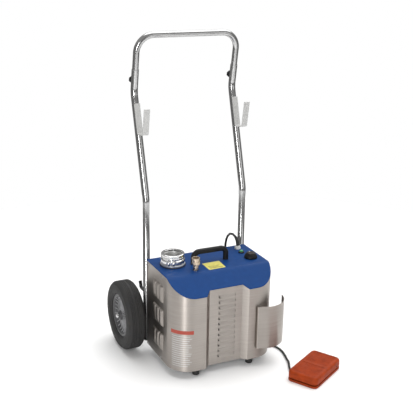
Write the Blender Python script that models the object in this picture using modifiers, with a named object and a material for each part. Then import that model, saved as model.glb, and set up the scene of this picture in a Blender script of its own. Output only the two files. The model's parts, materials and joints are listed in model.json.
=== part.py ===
"""Wheeled tube cleaning machine: a motor in a stainless casing on a hand cart, with a foot switch on a lead.

Metres, +Z up. Every sub-part is modelled in the machine's own frame: x = 0 on the casing's middle plane,
y = 0 on its rear face, z = 0 on the floor, with the front towards -Y. The empty "cleaner" carries that frame,
moved so that the middle of the whole set's footprint is the world origin.
"""

import math

import bmesh
import bpy
from mathutils import Matrix, Vector

# Driving dimensions.
WIDTH = 0.392  # casing, side to side
DEPTH = 0.263  # casing, front to back
CORNER = 0.080  # radius of the casing's front corners
FLOOR_GAP = 0.030  # under the casing
TOP = 0.359  # flat part of the cover
FOLD = 0.189  # from the rear face to the cover's fold
FRONT_TOP = 0.303  # front edge of the cover
RECESS = 0.018  # depth of the channel in the front, which has 45 degree walls
RECESS_HALF = 0.063
SHEET = 0.002
COVER_SHEET = 0.0025
GAP = 0.0003  # between pieces that touch
INSIDE = SHEET + GAP  # from the casing's outside to what lies against its inside

WHEEL_RADIUS = 0.127
WHEEL_MIDDLE = 0.251  # from the middle plane to the tyre's middle
TYRE_HALF = 0.035
AXLE_Y = 0.065
HUB_END = 0.290

TUBE_X = 0.190  # the cart's uprights
TUBE_Y = 0.0145
TUBE_RADIUS = 0.0127
TUBE_BORE = 0.0115
HANDLE_RADIUS = 0.0110
KINK = (TUBE_Y, 0.576)  # where the uprights start to lean back, as (y, z)
ELBOW = (0.122, 0.935)  # where they turn forwards
HANDLE_TOP = (0.087, 1.133)
UPRIGHT_END = 0.082  # length of an upright past the elbow

COLLAR = (-0.129, -0.081)  # the drive's axis, as (x, y)
INLET = (-0.076, -0.158)
GLAND = (0.152, -0.035)
LAMP = (0.146, -0.074)
SWITCH = (0.154, -0.131)
CARRY_Y = -0.108
CARRY_X = (-0.0615, 0.0645)

PEDAL_CENTRE = (0.2747, -0.3995)
PEDAL_TURN = math.radians(30)
PEDAL_HALF = (0.096, 0.057)
PEDAL_ROUND = 0.018

MAINS_RADIUS = 0.00425
FOOT_LEAD_RADIUS = 0.00375
MAINS_COIL = (0.115, 0.130)
FOOT_COIL = (-0.020, 0.130)
FOOT_GLAND = (0.030, 0.0, 0.105)  # where the foot switch's lead leaves the rear panel

PEDAL_REACH_X = (
    (PEDAL_HALF[0] - PEDAL_ROUND) * math.cos(PEDAL_TURN)
    + (PEDAL_HALF[1] - PEDAL_ROUND) * math.sin(PEDAL_TURN)
    + PEDAL_ROUND
)
PEDAL_REACH_Y = (
    (PEDAL_HALF[0] - PEDAL_ROUND) * math.sin(PEDAL_TURN)
    + (PEDAL_HALF[1] - PEDAL_ROUND) * math.cos(PEDAL_TURN)
    + PEDAL_ROUND
)
MACHINE_X = (HUB_END - PEDAL_CENTRE[0] - PEDAL_REACH_X) / 2
MACHINE_Y = (PEDAL_REACH_Y - PEDAL_CENTRE[1] - AXLE_Y - WHEEL_RADIUS) / 2

FINISHES = {  # colour, roughness, metallic
    "stainless": ((0.62, 0.60, 0.57), 0.30, 1.0),
    "chrome": ((0.80, 0.80, 0.80), 0.08, 1.0),
    "blue_paint": ((0.017, 0.065, 0.24), 0.25, 0.0),
    "grey_paint": ((0.50, 0.50, 0.49), 0.45, 0.0),
    "black_paint": ((0.02, 0.02, 0.02), 0.40, 0.0),
    "black_plastic": ((0.015, 0.015, 0.015), 0.45, 0.0),
    "black_rubber": ((0.018, 0.018, 0.018), 0.75, 0.0),
    "tyre_rubber": ((0.022, 0.022, 0.023), 0.80, 0.0),
    "rim_grey": ((0.12, 0.12, 0.13), 0.45, 0.3),
    "brass": ((0.62, 0.48, 0.30), 0.30, 1.0),
    "zinc": ((0.55, 0.56, 0.58), 0.35, 1.0),
    "motor_grey": ((0.20, 0.21, 0.22), 0.50, 0.2),
    "rotor_steel": ((0.42, 0.42, 0.43), 0.40, 1.0),
    "white_plastic": ((0.72, 0.72, 0.70), 0.40, 0.0),
    "green_lens": ((0.01, 0.28, 0.10), 0.10, 0.0),
    "orange_rubber": ((0.52, 0.075, 0.022), 0.50, 0.0),
}


def clear_scene():
    for old in list(bpy.data.objects):
        bpy.data.objects.remove(old, do_unlink=True)


def new_collection(name):
    made = bpy.data.collections.new(name)
    bpy.context.scene.collection.children.link(made)
    return made


def new_frame(name, place, turn=(0, 0, 0), parent=None):
    empty = bpy.data.objects.new(name, None)
    empty.location = place
    empty.rotation_euler = turn
    empty.parent = parent
    parts.objects.link(empty)
    return empty


def finish(slot):
    if slot in bpy.data.materials:
        return bpy.data.materials[slot]
    colour, roughness, metallic = FINISHES[slot]
    made = bpy.data.materials.new(slot)
    made.use_nodes = True
    shader = made.node_tree.nodes["Principled BSDF"]
    shader.inputs["Base Color"].default_value = (*colour, 1.0)
    shader.inputs["Roughness"].default_value = roughness
    shader.inputs["Metallic"].default_value = metallic
    return made


def add(name, data, slot, place=(0, 0, 0), turn=(0, 0, 0), parent=None):
    """One sub-part, or a cutter when slot is None, in the machine's frame."""
    made = bpy.data.objects.new(name, data)
    made.location = place
    made.rotation_euler = turn
    made.parent = parent or cleaner
    if slot is None:
        cutters.objects.link(made)
        made.hide_render = True
        made.display_type = "WIRE"
    else:
        parts.objects.link(made)
        made.data.materials.append(finish(slot))
    bpy.context.view_layer.update()
    return made


def box(name, slot, low, high, bevel=0.0, place=(0, 0, 0), **where):
    """A box between two corners, which are measured from place."""
    low, high = Vector(low), Vector(high)
    bm = bmesh.new()
    bmesh.ops.create_cube(bm, size=1.0)
    bmesh.ops.scale(bm, vec=high - low, verts=bm.verts)
    bmesh.ops.translate(bm, vec=(low + high) / 2, verts=bm.verts)
    mesh = bpy.data.meshes.new(name)
    bm.to_mesh(mesh)
    bm.free()
    made = add(name, mesh, slot, place, **where)
    if bevel:
        rounded = made.modifiers.new("rounded edges", "BEVEL")
        rounded.width = bevel
        rounded.segments = 2
    return made


def turned(name, slot, profile, place=(0, 0, 0), turn=(0, 0, 0), steps=24, **where):
    """A turned piece about its own Z. The profile holds (radius, z), down the outside and up the inside.

    It is closed on itself where it is a ring, and ends on the axis where it is solid.
    """
    bm = bmesh.new()
    ring = [bm.verts.new((radius, 0, z)) for radius, z in profile]
    for first, second in zip(ring, ring[1:]):
        bm.edges.new((first, second))
    if profile[0][0] > 0:
        bm.edges.new((ring[-1], ring[0]))
    mesh = bpy.data.meshes.new(name)
    bm.to_mesh(mesh)
    bm.free()
    made = add(name, mesh, slot, place, turn, **where)
    screw = made.modifiers.new("turned", "SCREW")
    screw.steps = steps
    screw.render_steps = steps
    screw.use_merge_vertices = True
    screw.merge_threshold = 0.0001
    return made


def ring_profile(inner, outer, low, high):
    return [(inner, high), (outer, high), (outer, low), (inner, low)]


def rod_profile(radius, low, high):
    return [(0, high), (radius, high), (radius, low), (0, low)]


ALONG_X = (0, math.pi / 2, 0)  # turns a piece's own Z to +X
ALONG_Y = (-math.pi / 2, 0, 0)  # turns a piece's own Z to +Y


def meshed(curve_object, slot):
    """The curve object as one closed mesh object in the same place. The curve is removed."""
    name = curve_object.name
    bpy.context.view_layer.update()
    graph = bpy.context.evaluated_depsgraph_get()
    mesh = bpy.data.meshes.new_from_object(curve_object.evaluated_get(graph))
    bm = bmesh.new()
    bm.from_mesh(mesh)
    bmesh.ops.remove_doubles(bm, verts=bm.verts, dist=0.00001)
    bmesh.ops.recalc_face_normals(bm, faces=bm.faces)
    bm.to_mesh(mesh)
    bm.free()
    mesh.materials.clear()
    mesh.shade_smooth()
    mesh.set_sharp_from_angle(angle=math.radians(35))
    placed = curve_object.matrix_world.copy()
    parent = curve_object.parent
    bpy.data.objects.remove(curve_object, do_unlink=True)
    made = add(name, mesh, slot, parent=parent)
    made.matrix_world = placed
    bpy.context.view_layer.update()
    return made


def prism(name, slot, outline, low, high, axis="Z", place=(0, 0, 0), **where):
    """A flat outline, extruded from low to high along an axis. Along X it holds (y, z), along Y (x, z)."""
    curve = bpy.data.curves.new(name, "CURVE")
    curve.dimensions = "2D"
    curve.fill_mode = "BOTH"
    curve.extrude = (high - low) / 2
    spline = curve.splines.new("POLY")
    spline.points.add(len(outline) - 1)
    for point, (u, v) in zip(spline.points, outline):
        point.co = (u, v, 0, 1)
    spline.use_cyclic_u = True
    middle = (low + high) / 2
    shift = {"X": (middle, 0, 0), "Y": (0, middle, 0), "Z": (0, 0, middle)}[axis]
    turn = {"X": (math.pi / 2, 0, math.pi / 2), "Y": (math.pi / 2, 0, 0), "Z": (0, 0, 0)}[axis]
    made = add(name, curve, slot, Vector(place) + Vector(shift), turn, **where)
    return meshed(made, slot)


def tube(name, slot, points, radius, resolution=3, as_mesh=False, radii=None, **where):
    """A round bar or cord through the points, with flat ends."""
    curve = bpy.data.curves.new(name, "CURVE")
    curve.dimensions = "3D"
    curve.bevel_depth = radius
    curve.bevel_resolution = resolution
    curve.use_fill_caps = True
    spline = curve.splines.new("POLY")
    spline.points.add(len(points) - 1)
    for number, point in enumerate(points):
        spline.points[number].co = (*point, 1)
        spline.points[number].radius = radii[number] if radii else 1.0
    made = add(name, curve, slot, **where)
    return meshed(made, slot) if as_mesh else made


def boolean(piece, other, operation="DIFFERENCE"):
    change = piece.modifiers.new(operation.lower(), "BOOLEAN")
    change.operation = operation
    change.object = other
    return piece


def drill(piece, name, centre, radius, low, high, turn=(0, 0, 0), steps=12):
    """A round hole between low and high, measured along the hole from centre."""
    return boolean(piece, turned(name, None, rod_profile(radius, low, high), centre, turn, steps))


def arc(centre, radius, start, stop, steps):
    """Points of an arc in a plane, with its angles in degrees."""
    found = []
    for step in range(steps + 1):
        angle = math.radians(start + (stop - start) * step / steps)
        found.append((centre[0] + radius * math.cos(angle), centre[1] + radius * math.sin(angle)))
    return found


def rounded_path(points, radius, steps=5):
    """The path through the points, in two or three dimensions, with each inner corner rounded."""
    path = [Vector(point) for point in points]
    found = [path[0]]
    for before, corner, after in zip(path, path[1:], path[2:]):
        back, on = (before - corner).normalized(), (after - corner).normalized()
        half = back.angle(on) / 2
        reach = radius / math.tan(half)
        centre = corner + (back + on).normalized() * (radius / math.sin(half))
        first, last = corner + back * reach - centre, corner + on * reach - centre
        swing = math.pi - 2 * half
        for step in range(steps + 1):
            part = step / steps
            mix = (math.sin((1 - part) * swing) * first + math.sin(part * swing) * last) / math.sin(swing)
            found.append(centre + mix)
    return found + [path[-1]]


def strip(path, thickness):
    """The outline of a sheet of this thickness whose middle follows a path in a plane."""
    path = [Vector(point) for point in path]
    left, right = [], []
    for number, point in enumerate(path):
        ahead = path[min(number + 1, len(path) - 1)] - point
        behind = point - path[max(number - 1, 0)]
        along = (ahead.normalized() + behind.normalized()).normalized()
        across = Vector((-along.y, along.x))
        bend = max(0.5, along.dot((ahead if ahead.length else behind).normalized()))
        left.append(point + across * thickness / 2 / bend)
        right.append(point - across * thickness / 2 / bend)
    return left + right[::-1]


def smooth_path(points, spacing):
    """Evenly spaced points on a smooth curve through the points."""
    path = [Vector(point) for point in points]
    path = [2 * path[0] - path[1]] + path + [2 * path[-1] - path[-2]]
    fine = []
    for a, b, c, d in zip(path, path[1:], path[2:], path[3:]):
        for step in range(40):
            t = step / 40
            bend, twist = 2 * a - 5 * b + 4 * c - d, 3 * b - a - 3 * c + d
            fine.append((2 * b + (c - a) * t + bend * t**2 + twist * t**3) / 2)
    fine.append(path[-2])
    lengths = [0.0]
    for first, second in zip(fine, fine[1:]):
        lengths.append(lengths[-1] + (second - first).length)
    count = max(2, round(lengths[-1] / spacing))
    found, place = [], 0
    for number in range(count + 1):
        wanted = lengths[-1] * number / count
        while place < len(fine) - 2 and lengths[place + 1] < wanted:
            place += 1
        share = (wanted - lengths[place]) / (lengths[place + 1] - lengths[place])
        found.append(fine[place].lerp(fine[place + 1], min(1.0, share)))
    return found


# The casing and its cover.


def casing_outline(inset=0.0, rear=0.0, steps=8):
    """Plan of the casing, from its rear left corner round the front to its rear right corner."""
    side, front, radius = WIDTH / 2 - inset, -DEPTH + inset, CORNER - inset
    shift = inset * math.tan(math.radians(22.5))
    middle = (WIDTH / 2 - CORNER, -DEPTH + CORNER)
    left = [(-side, rear)] + arc((-middle[0], middle[1]), radius, 180, 270, steps)
    left += [(-RECESS_HALF - RECESS - shift, front), (-RECESS_HALF - shift, front + RECESS)]
    return left + [(-x, y) for x, y in reversed(left)]


def cover_height(y):
    """Height of the cover's outside, which is flat as far as the fold and then slopes down."""
    slope = (TOP - FRONT_TOP) / (DEPTH - FOLD)
    return TOP - max(0.0, -y - FOLD) * slope


def folded_slab(name, high, low):
    """A slab under the cover's outside, between two depths below it."""
    rear, front = 0.01, -DEPTH - 0.01
    top = [(y, cover_height(y) - high) for y in (rear, -FOLD, front)]
    bottom = [(y, cover_height(y) - low) for y in (front, -FOLD, rear)]
    return prism(name, None, top + bottom, -WIDTH / 2 - 0.02, WIDTH / 2 + 0.02, axis="X")


CASE_SCREWS_TOP = (-0.020, -0.148)  # y of the screws into the cover's skirt
CASE_SCREWS_BOTTOM = (-0.020, -0.133)
SCREW_TOP_Z = TOP - 0.0125
SCREW_BOTTOM_Z = FLOOR_GAP + 0.008
VENT_ROWS = (0.283, 0.1945, 0.102)
VENT_COLUMNS = (-0.0860, -0.1145, -0.1430)
LOUVRES = 12
LOUVRE_LOW, LOUVRE_HIGH = 0.060, 0.284
PANEL_HALF = 0.174
PANEL_OPENING = 0.160
BOLT_X = 0.167
CROSSBARS = (0.0675, 0.315)  # heights of the bars between the uprights
CROSSBAR_Y = (0.0026, 0.0146)


def case_screw_places():
    for side in (-1, 1):
        for y in CASE_SCREWS_TOP:
            yield side, y, SCREW_TOP_Z
        for y in CASE_SCREWS_BOTTOM:
            yield side, y, SCREW_BOTTOM_Z


def joined(name, shapes):
    """One cutter that holds several separate closed shapes, which are removed."""
    bpy.context.view_layer.update()
    graph = bpy.context.evaluated_depsgraph_get()
    bm = bmesh.new()
    for shape in shapes:
        mesh = bpy.data.meshes.new_from_object(shape.evaluated_get(graph))
        mesh.transform(cleaner.matrix_world.inverted() @ shape.matrix_world)
        bm.from_mesh(mesh)
    mesh = bpy.data.meshes.new(name)
    bm.to_mesh(mesh)
    bm.free()
    mesh.materials.clear()
    for shape in shapes:
        bpy.data.objects.remove(shape, do_unlink=True)
    return add(name, mesh, None)


def make_screw_holes():
    """Cutter for the screws through the casing's sides."""
    profile = rod_profile(0.0021, -0.012, 0.012)
    holes = [
        turned(f"hole_{side}_{y}_{z}", None, profile, (side * WIDTH / 2, y, z), ALONG_X, 8)
        for side, y, z in case_screw_places()
    ]
    return joined("screw_holes", holes)


def make_bolt_holes():
    """Cutter for the bolts that hold the casing on the cart's crossbars."""
    holes = [
        turned(f"bolt_hole_{x > 0}_{z}", None, rod_profile(0.0033, -0.02, 0.02), (x, 0.0, z), ALONG_Y, 8)
        for x in (-BOLT_X, BOLT_X)
        for z in CROSSBARS
    ]
    return joined("bolt_holes", holes)


def make_casing():
    underside = COVER_SHEET + GAP
    casing = prism("casing_shell", "stainless", casing_outline(), FLOOR_GAP, TOP - underside)
    hollow = prism("casing_hollow", None, casing_outline(SHEET, -SHEET), 0.0, 0.5)
    boolean(casing, hollow)
    rear = box("rear_opening", None, (-PANEL_OPENING, -0.01, 0), (PANEL_OPENING, 0.01, 0.5))
    boolean(casing, rear)
    edge = [(-FOLD, cover_height(-FOLD) - underside), (-0.3, cover_height(-0.3) - underside), (-0.3, 0.5)]
    boolean(casing, prism("slope_cut", None, edge + [(-FOLD, 0.5)], -0.3, 0.3, axis="X"))
    slots = []
    for number in range(LOUVRES):
        z = LOUVRE_LOW + (LOUVRE_HIGH - LOUVRE_LOW) * number / (LOUVRES - 1)
        y = -DEPTH + RECESS
        low, high = (-0.027, y - 0.005, z - 0.003), (0.036, y + 0.005, z + 0.003)
        slots.append(box(f"louvre_{number}", None, low, high))
    for side in (-1, 1):
        for y in VENT_COLUMNS:
            for z in VENT_ROWS:
                x = side * WIDTH / 2
                low, high = (x - 0.005, y - 0.003, z - 0.027), (x + 0.005, y + 0.003, z + 0.027)
                slots.append(box(f"vent_{side}_{y}_{z}", None, low, high))
    boolean(casing, joined("casing_slots", slots))
    boolean(casing, screw_holes)
    return boolean(casing, bolt_holes)


def make_rear_panel():
    low, high = FLOOR_GAP + 0.002, TOP - 0.006
    panel = box("rear_panel", "stainless", (-PANEL_HALF, GAP, low), (PANEL_HALF, 0.0023, high))
    drill(panel, "foot_gland_hole", FOOT_GLAND, 0.0065, -0.01, 0.01, ALONG_Y)
    return boolean(panel, bolt_holes)


def make_base_pan():
    lip = FLOOR_GAP + 0.016
    pan = prism("base_pan", "zinc", casing_outline(INSIDE, -INSIDE), FLOOR_GAP + 0.001, lip)
    inner = casing_outline(INSIDE + 0.0015, -INSIDE - 0.0015)
    boolean(pan, prism("pan_hollow", None, inner, FLOOR_GAP + 0.003, lip + 0.01))
    return boolean(pan, screw_holes)


def make_top_cover():
    """The folded sheet, with a skirt inside the casing and holes for what stands on it."""
    overhang = -0.0005
    cover = prism("top_cover", "blue_paint", casing_outline(overhang, 0.0), TOP - 0.12, TOP + 0.02)
    boolean(cover, folded_slab("cover_slab", 0.0, COVER_SHEET), "INTERSECT")
    skirt = prism("skirt", None, casing_outline(INSIDE, -INSIDE), TOP - 0.12, TOP)
    boolean(skirt, prism("skirt_hollow", None, casing_outline(0.004, -0.004), TOP - 0.13, TOP + 0.01))
    boolean(skirt, folded_slab("skirt_slab", 0.001, 0.018), "INTERSECT")
    boolean(cover, skirt, "UNION")
    drill(cover, "collar_hole", (*COLLAR, TOP), 0.0312, -0.02, 0.02, steps=24)
    drill(cover, "inlet_hole", (*INLET, TOP), 0.0084, -0.02, 0.02)
    drill(cover, "gland_hole", (*GLAND, TOP), 0.0064, -0.02, 0.02)
    drill(cover, "switch_hole", (*SWITCH, TOP), 0.0052, -0.02, 0.02)
    drill(cover, "lamp_hole", (*LAMP, TOP), 0.0074, -0.02, 0.02)
    return boolean(cover, screw_holes)


def make_foot(name, side):
    profile = [(0, 0.0306), (0.011, 0.0306), (0.013, 0.004), (0.012, 0.0), (0, 0.0)]
    return turned(name, "black_rubber", profile, (side * 0.105, -0.231, 0), steps=16)


# The cart: uprights, handle, wheels.


def lean(first, second):
    return (Vector((0, *second)) - Vector((0, *first))).normalized()


BACK_LEAN = lean(KINK, ELBOW)
HANDLE_LEAN = lean(ELBOW, HANDLE_TOP)
STUD = Vector((0, HANDLE_LEAN.z, -HANDLE_LEAN.y))  # square to the handle, pointing to the rear


def past_elbow(x, distance):
    """A point on the handle section's middle line."""
    return Vector((x, *ELBOW)) + HANDLE_LEAN * distance


KNOB_AT = 0.0385  # along the handle section, from the elbow
STUD_TURN = (math.atan2(-STUD.y, STUD.z), 0, 0)  # turns a piece's own Z to the stud's direction


def make_upright(name, side):
    x = side * TUBE_X
    corners = [(x, TUBE_Y, 0.040), (x, *KINK), (x, *ELBOW), past_elbow(x, UPRIGHT_END)]
    upright = tube(name, "chrome", rounded_path(corners, 0.075, 5), TUBE_RADIUS, 4, as_mesh=True)
    along = (math.atan2(-HANDLE_LEAN.y, HANDLE_LEAN.z), 0, 0)
    drill(upright, f"{name}_bore", past_elbow(x, 0), TUBE_BORE, 0.022, 0.12, along, 16)
    slit = [(-0.0015, 0.034), (0.0015, 0.034), (0.0015, 0.12), (-0.0015, 0.12)]
    cutter = prism(f"{name}_slit", None, slit, -0.02, 0.0, axis="Y")
    cutter.location = past_elbow(x, 0) - STUD * 0.010
    cutter.rotation_euler = (math.pi / 2 + along[0], 0, 0)
    boolean(upright, cutter)
    return drill(upright, f"{name}_stud_hole", past_elbow(x, KNOB_AT), 0.0036, 0.004, 0.02, STUD_TURN, 10)


def make_upper_handle():
    """The bail whose legs slide in the uprights, with its origin on the left leg's middle line."""
    length = (Vector((0, *HANDLE_TOP)) - Vector((0, *ELBOW))).length
    origin = past_elbow(-TUBE_X, 0)
    corners = [
        past_elbow(-TUBE_X, 0.024),
        past_elbow(-TUBE_X, length),
        past_elbow(TUBE_X, length),
        past_elbow(TUBE_X, 0.024),
    ]
    path = [point - origin for point in rounded_path(corners, 0.060, 8)]
    return tube("upper_handle", "chrome", path, HANDLE_RADIUS, 4, place=origin)


def make_clamp_knob(name, side):
    profile = [
        (0, 0.0310),
        (0.0085, 0.0305),
        (0.0118, 0.0285),
        (0.0128, 0.0250),
        (0.0128, 0.0195),
        (0.0110, 0.0170),
        (0.0075, 0.0155),
        (0.0032, 0.0155),
        (0.0032, 0.0119),
        (0, 0.0119),
    ]
    return turned(name, "black_plastic", profile, past_elbow(side * TUBE_X, KNOB_AT), STUD_TURN, 16)


def make_hook(name, side):
    """A bent strip in front of an upright, open upwards, that carries a coiled shaft."""
    corners = [(0.0958, 0.900), (0.0650, 0.797), (0.0160, 0.806), (0.0010, 0.897)]
    outline = strip(rounded_path(corners, 0.010, 4), 0.003)
    x = side * TUBE_X
    return prism(name, "grey_paint", outline, x - 0.011, x + 0.011, axis="X")


def make_cord_hook():
    """A small hook behind the left upright, for winding up the lead."""
    start = TUBE_Y + TUBE_RADIUS + GAP
    outline = strip(rounded_path([(start, 0.222), (0.070, 0.222), (0.078, 0.245)], 0.008, 3), 0.005)
    return prism("cord_hook", "black_plastic", outline, -TUBE_X - 0.006, -TUBE_X + 0.006, axis="X")


def make_crossbar(name, z):
    reach = TUBE_X - TUBE_RADIUS - 0.0006
    bar = box(name, "black_paint", (-reach, CROSSBAR_Y[0], z - 0.0125), (reach, CROSSBAR_Y[1], z + 0.0125))
    return boolean(bar, bolt_holes)


def make_axle_bracket(name, side):
    """A plate welded behind an upright, which carries the axle."""
    front = TUBE_Y + TUBE_RADIUS + GAP
    outline = [(front, 0.092), (front, 0.168), (0.040, 0.168)]
    outline += arc((AXLE_Y, WHEEL_RADIUS), 0.018, 60, -60, 6) + [(0.040, 0.092)]
    middle = side * TUBE_X
    plate = prism(name, "black_paint", outline, middle - 0.0025, middle + 0.0025, axis="X")
    return drill(plate, f"{name}_hole", (middle, AXLE_Y, WHEEL_RADIUS), 0.0083, -0.01, 0.01, ALONG_X, 24)


def make_axle():
    return turned("axle", "zinc", rod_profile(0.008, -0.2845, 0.2845), (0, AXLE_Y, WHEEL_RADIUS), ALONG_X, 24)


WHEEL_STEPS = 28


def make_tyre(name, side):
    """A moulded tyre: bead, bulging sidewall and flat tread, mirrored about its middle."""
    half = [
        (WHEEL_RADIUS, 0.012),
        (WHEEL_RADIUS - 0.0010, 0.0225),
        (WHEEL_RADIUS - 0.0065, 0.0300),
        (WHEEL_RADIUS - 0.0160, 0.0345),
        (WHEEL_RADIUS - 0.0280, TYRE_HALF),
        (WHEEL_RADIUS - 0.0400, 0.0325),
        (0.0790, 0.0270),
    ]
    profile = half[::-1] + [(radius, -z) for radius, z in half]
    place = (side * WHEEL_MIDDLE, AXLE_Y, WHEEL_RADIUS)
    return turned(name, "tyre_rubber", profile, place, ALONG_X, WHEEL_STEPS)


def make_rim(name, side):
    """A moulded rim: a channel for the tyre, a dished web and a long hub on the axle."""
    bore = 0.0081
    profile = [
        (bore, 0.0300),
        (0.0160, 0.0300),
        (0.0185, 0.0160),
        (0.0600, 0.0120),
        (0.0690, 0.0250),
        (0.0787, 0.0250),
        (0.0787, -0.0250),
        (0.0690, -0.0250),
        (0.0640, 0.0060),
        (0.0200, 0.0060),
        (0.0160, -0.0510),
        (bore, -0.0510),
    ]
    place = (side * WHEEL_MIDDLE, AXLE_Y, WHEEL_RADIUS)
    return turned(name, "rim_grey", profile, place, (0, side * math.pi / 2, 0), WHEEL_STEPS)


def make_hub_nut(name, side):
    """A domed nut on the axle's end."""
    dome = [(0, 0), (0.0050, -0.0008), (0.0085, -0.0035), (0.0100, -0.0085)]
    bore = [(0.0083, -0.0085), (0.0083, -0.0048), (0, -0.0048)]
    place = (side * HUB_END, AXLE_Y, WHEEL_RADIUS)
    return turned(name, "chrome", dome + bore, place, (0, side * math.pi / 2, 0), 24)


# What stands on the cover.


def make_coupling_gasket():
    profile = ring_profile(0.0318, 0.0455, GAP, 0.003)
    return turned("coupling_gasket", "black_rubber", profile, (*COLLAR, TOP), steps=24)


def make_coupling_base():
    """The fixed neck, through the cover, with its flange on the gasket."""
    flange = [(0.0306, 0.0090), (0.0430, 0.0090), (0.0435, 0.0033), (0.0306, 0.0033)]
    neck = [(0.0285, 0.0385), (0.0306, 0.0385)] + flange + [(0.0306, -0.0400), (0.0285, -0.0400)]
    return turned("coupling_base", "chrome", neck, (*COLLAR, TOP), steps=24)


COLLAR_FACE = math.radians(-120)  # direction of the collar's finger lugs


def make_locking_collar():
    """The collar that a quarter turn locks over the shaft's end, with two finger lugs."""
    outer = [
        (0.0300, 0.0450),
        (0.0385, 0.0450),
        (0.0410, 0.0430),
        (0.0412, 0.0330),
        (0.0390, 0.0290),
        (0.0428, 0.0240),
        (0.0430, 0.0150),
        (0.0400, 0.0094),
        (0.0310, 0.0094),
        (0.0310, 0.0389),
        (0.0300, 0.0389),
    ]
    collar = turned("locking_collar", "chrome", outer, (*COLLAR, TOP), steps=24)
    for number, offset in enumerate((-0.0085, 0.0085)):
        place = Matrix.Rotation(COLLAR_FACE, 3, "Z") @ Vector((0.0425, offset, 0.0185))
        lug = box(f"lug_{number}", None, (-0.006, -0.0045, -0.0080), (0.006, 0.0045, 0.0080), 0.0015)
        lug.location = Vector((*COLLAR, TOP)) + place
        lug.rotation_euler = (0, 0, COLLAR_FACE)
        boolean(collar, lug, "UNION")
    return collar


def make_drive_socket():
    """The square socket on the motor shaft's end, at the bottom of the neck."""
    profile = [(0, 0.0120), (0.0120, 0.0120), (0.0120, -0.0150), (0.0062, -0.0200), (0, -0.0200)]
    socket = turned("drive_socket", "rotor_steel", profile, (*COLLAR, TOP), steps=16)
    low, high = (-0.0048, -0.0048, -0.006), (0.0048, 0.0048, 0.02)
    return boolean(socket, box("square_hole", None, low, high, place=(*COLLAR, TOP)))


def make_water_inlet():
    outer = [
        (0.0045, 0.0300),
        (0.0076, 0.0300),
        (0.0076, 0.0180),
        (0.0094, 0.0175),
        (0.0094, 0.0050),
        (0.0104, 0.0045),
        (0.0104, GAP),
        (0.0080, GAP),
        (0.0080, -0.0220),
        (0.0045, -0.0220),
    ]
    return turned("water_inlet", "brass", outer, (*INLET, TOP), steps=16)


def make_water_swivel():
    """The loose nut that a hose screws into."""
    outer = [
        (0.0112, 0.0447),
        (0.0138, 0.0447),
        (0.0142, 0.0430),
        (0.0142, 0.0210),
        (0.0125, 0.0180),
        (0.0080, 0.0180),
        (0.0080, 0.0305),
        (0.0112, 0.0305),
    ]
    return turned("water_swivel", "brass", outer, (*INLET, TOP), steps=24)


def make_carry_handle():
    left, right = CARRY_X
    low, high = TOP + GAP, 0.4030
    corners = [(left, CARRY_Y, low), (left, CARRY_Y, high), (right, CARRY_Y, high), (right, CARRY_Y, low)]
    return tube("carry_handle", "black_plastic", rounded_path(corners, 0.022, 5), 0.0095, 3)


def make_cord_gland():
    profile = [
        (0.0048, 0.0120),
        (0.0085, 0.0120),
        (0.0095, 0.0075),
        (0.0115, 0.0070),
        (0.0115, GAP),
        (0.0060, GAP),
        (0.0060, -0.0120),
        (0.0048, -0.0120),
    ]
    return turned("cord_gland", "white_plastic", profile, (*GLAND, TOP), steps=12)


def make_pilot_lamp():
    profile = [
        (0, 0.0110),
        (0.0040, 0.0103),
        (0.0068, 0.0078),
        (0.0080, 0.0045),
        (0.0108, 0.0035),
        (0.0112, GAP),
        (0.0070, GAP),
        (0.0070, -0.0220),
        (0, -0.0220),
    ]
    return turned("pilot_lamp", "green_lens", profile, (*LAMP, TOP), steps=16)


def make_selector_switch():
    """The switch under the cover, with its spindle through it."""
    low, high = (-0.022, -0.022, -0.052), (0.022, 0.022, -0.0060)
    body = box("selector_switch", "black_plastic", low, high, place=(*SWITCH, TOP))
    spindle = turned("spindle", None, rod_profile(0.0040, -0.010, 0.0080), (*SWITCH, TOP), steps=12)
    return boolean(body, spindle, "UNION")


def make_selector_knob():
    profile = [
        (0, 0.0200),
        (0.0135, 0.0195),
        (0.0165, 0.0175),
        (0.0180, 0.0100),
        (0.0232, 0.0065),
        (0.0235, 0.0006),
        (0.0045, 0.0006),
        (0.0045, 0.0095),
        (0, 0.0095),
    ]
    return turned("selector_knob", "black_plastic", profile, (*SWITCH, TOP), steps=24)


POUCH_LOW, POUCH_HIGH = 0.072, 0.232


def pouch_path():
    """Plan of the holder's sheet: a flange on the casing's front, then a plate that curves round its corner."""
    flange = -DEPTH - SHEET / 2 - GAP
    corners = [(0.1280, flange), (0.1120, flange), (0.1120, -0.2735), (0.1300, -0.2785)]
    plate = [
        (0.1300, -0.2785),
        (0.1450, -0.2840),
        (0.1650, -0.2865),
        (0.1900, -0.2815),
        (0.2150, -0.2665),
        (0.2345, -0.2410),
        (0.2425, -0.2130),
    ]
    bend = [Vector(point) for point in rounded_path(corners, 0.003, 3)]
    return bend[:-1] + [point.to_2d() for point in smooth_path([(*point, 0) for point in plate], 0.014)]


def make_pouch():
    """The holder on the casing's front corner: a bent sheet, open at its top and right, with a floor."""
    path = pouch_path()
    pouch = prism("pouch", "stainless", strip(path, SHEET), POUCH_LOW, POUCH_HIGH)
    corner = arc((WIDTH / 2 - CORNER, -DEPTH + CORNER), CORNER + 2 * GAP, -10, -80, 8)
    floor = [point for point in path if point.y < -0.270 or point.x > 0.13]
    shelf = prism("pouch_floor", None, floor + corner, POUCH_LOW, POUCH_LOW + 0.002)
    return boolean(pouch, shelf, "UNION")


# Inside the casing.

MOTOR_LOW = 0.064


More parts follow.
